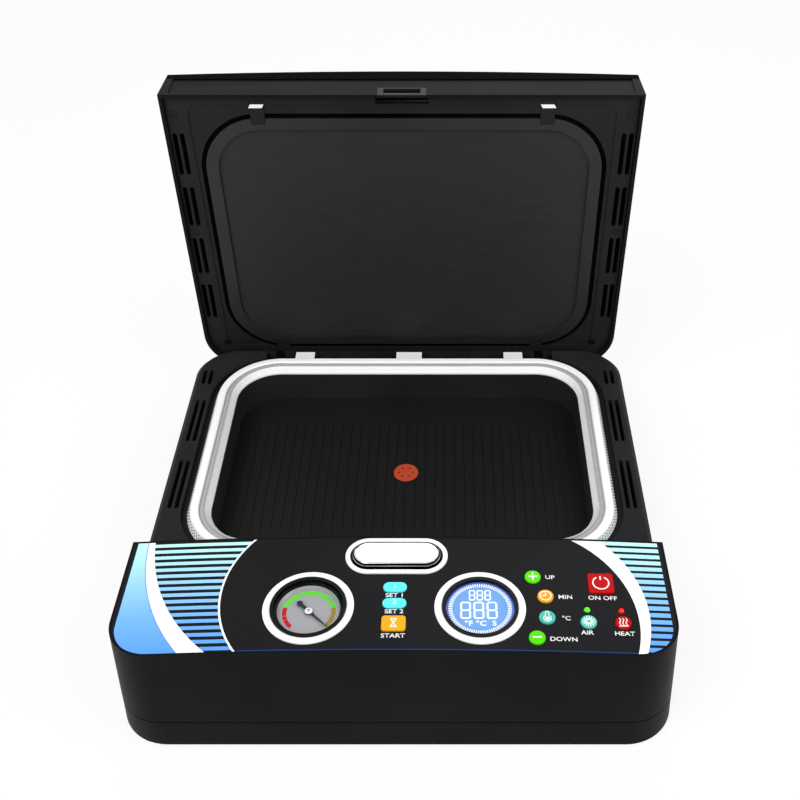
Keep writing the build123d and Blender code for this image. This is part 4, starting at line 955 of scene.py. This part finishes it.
membrane_skin, tree, shader = start_material("black_silicone_membrane", {
    "IOR": 1.41, "Specular IOR Level": 0.3})
stretched = add(tree, "Mapping", values={"Scale": (40, 40, 260)}, links={"Vector": spots(tree)})
cloud = noise(tree, stretched.outputs[0], 1, 5)
tree.links.new(between(tree, cloud, "#212121", "#2a2a2a"), shader.inputs["Base Color"])
vary_gloss(tree, shader, cloud, 0.4, 0.6)
raise_skin(tree, shader, cloud, 0.3, 0.1 * mm)
dress(membrane_skin, "membrane")

anodised = moulded("black_anodised_aluminium", "#202021", "#272728", 0.5 * mm,
                   {"Metallic": 0.3}, relief=0.006, gloss=(0.4, 0.5))
dress(anodised, "membrane_frame")

closed_clip_z = seal_top_z + 0.4 * mm      # underside of the clips on the closed lid
groove_shade_z = closed_clip_z + 1.5 * mm        # its upper face, just under the groove's floor
groove_shade_grow, groove_shade_width, groove_shade_thickness = 14.0 * mm, 3.3 * mm, 0.5 * mm
stop_length, stop_width, stop_slant, stop_thickness = 9.5 * mm, 2.8 * mm, 1.5 * mm, 0.15 * mm
stop_middle = (102.7 * mm, -66.0 * mm)


def on_open_lid(piece, finish, thickness):
    """Thickens a sheet drawn on the closed lid downward, and turns it back with the lid."""
    thicken(piece, thickness, -1)
    opened = Matrix.Translation(hinge) @ Matrix.Rotation(-lid_swing, 4, "X") @ Matrix.Translation(-hinge)
    piece.data.transform(opened)
    piece.data.materials.append(finish)
    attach(piece, "lid")


# painted shade: a near-black sheet laid in the groove round the frame
groove_shade_sheet = well_outline(groove_shade_grow, groove_shade_z)
with edit_mode():
    bpy.ops.mesh.inset(thickness=groove_shade_width)
    bpy.ops.mesh.delete(type="FACE")
groove_shade_sheet.name = "lid_groove_shade"
groove_shade_black = moulded("groove_painted_shade", "#020202", "#050505", 1.0 * mm,
               {"IOR": 1.45, "Specular IOR Level": 0.02}, relief=0.05, gloss=(0.9, 1.0))
on_open_lid(groove_shade_sheet, groove_shade_black, groove_shade_thickness)

stops = []
for side in (-1, 1):
    stop = bar((side * stop_middle[0], stop_middle[1], closed_clip_z), stop_length, stop_width)
    for vertex in stop.data.vertices:
        vertex.co.x += side * stop_slant * (vertex.co.y - stop_middle[1]) / stop_width
    stops.append(stop)
stop_white = moulded("white_acetal_stop", "#ececec", "#f4f4f4", 0.8 * mm, {"IOR": 1.48}, relief=0.004)
on_open_lid(joined("clip_stops", stops), stop_white, stop_thickness)

# ---------------------------------------------------------------- metal parts
# Hinge brackets, latch, base screws, pump motor and springs are zinc-plated steel; hinge arms, hinge pins,
# lid screws and the striker are black-oxide steel; pump head, port fitting and reflector are aluminium.


def rolled(name, colour, light_colour, direction, gloss):
    """Rolled or turned metal with fine lines along one axis."""
    made, tree, shader = start_material(name, {"Metallic": 1.0})
    lines = add(tree, "Mapping", values={"Scale": direction}, links={"Vector": spots(tree)})
    grain = noise(tree, lines.outputs[0], 1, 4)
    tree.links.new(between(tree, grain, colour, light_colour), shader.inputs["Base Color"])
    vary_gloss(tree, shader, grain, *gloss)
    return made


zinc = rolled("zinc_plated_steel", "#8f9296", "#a9acb0", (60, 900, 900), (0.25, 0.4))
dress(zinc, "latch_bracket", "latch_hook", "latch_pin", "base_screws", "pump_motor", "hinge_brackets")
dark_steel = rolled("black_oxide_steel", "#232325", "#2d2d30", (60, 900, 900), (0.35, 0.5))
dress(dark_steel, "hinge_arms", "hinge_pins", "lid_screws", "striker")
aluminium = rolled("rolled_aluminium", "#c0c2c6", "#d4d6d9", (900, 60, 900), (0.3, 0.45))
dress(aluminium, "pump_head", "port_fitting", "reflector")

# ---------------------------------------------------------------- button spring
# A coil of zinc-plated spring wire between the well's floor and the plunger.  The real one shortens as the
# button goes down; this one keeps its rest length.
spring_low, spring_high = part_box("button_spring")
wire_radius = 0.6 * mm
coil_radius = (spring_high.x - spring_low.x) / 2 - wire_radius
coil_turns = 4
wire_sides = 12
rise = spring_high.z - spring_low.z - 2 * wire_radius

bpy.ops.mesh.primitive_circle_add(vertices=wire_sides, radius=wire_radius, location=(coil_radius, 0, 0),
                                  rotation=(pi / 2, 0, 0))
spring = bpy.context.object
spring.name = "coil_spring"
settle()
coil = spring.modifiers.new("coil", "SCREW")
coil.iterations = coil_turns
coil.screw_offset = rise / coil_turns
coil.steps = coil.render_steps = 32
apply_modifiers(spring)
spring.data.transform(Matrix.Translation((
    (spring_low.x + spring_high.x) / 2, (spring_low.y + spring_high.y) / 2, spring_low.z + wire_radius)))
with edit_mode():
    bpy.ops.mesh.select_all(action="SELECT")
    bpy.ops.mesh.fill_holes(sides=wire_sides)
    bpy.ops.mesh.select_all(action="SELECT")
    bpy.ops.mesh.normals_make_consistent(inside=False)
bpy.ops.object.shade_smooth_by_angle(angle=radians(60))
spring.data.materials.append(zinc)
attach(spring, "housing")
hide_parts("button_spring")
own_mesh(spring)

# ---------------------------------------------------------------- boards, hoses and heaters
# Epoxy boards in green solder mask, clear silicone hose, quartz heater tubes and a felted ceramic pad.
board = moulded("green_epoxy_board", "#0f4a26", "#15592f", 1.0 * mm,
                {"IOR": 1.55}, relief=0.01, gloss=(0.3, 0.45))
dress(board, "control_board", "power_supply")
hose = moulded("natural_silicone_hose", "#bcbeb9", "#c8cac5", 0.8 * mm,
               {"IOR": 1.41, "Subsurface Weight": 0.1, "Subsurface Scale": 2 * mm},
               relief=0.01, gloss=(0.4, 0.55))
dress(hose, "vacuum_hose", "gauge_hose")
quartz = moulded("milky_quartz_tube", "#e6d9c6", "#f0e6d6", 0.9 * mm,
                 {"IOR": 1.46}, relief=0.006, gloss=(0.15, 0.3))
dress(quartz, "heating_elements")
felt = moulded("ceramic_fibre_felt", "#cfcbc0", "#dfdcd2", 1.2 * mm, {"IOR": 1.5, "Specular IOR Level": 0.1},
               relief=0.3, gloss=(0.85, 0.95))
dress(felt, "insulation_pad")
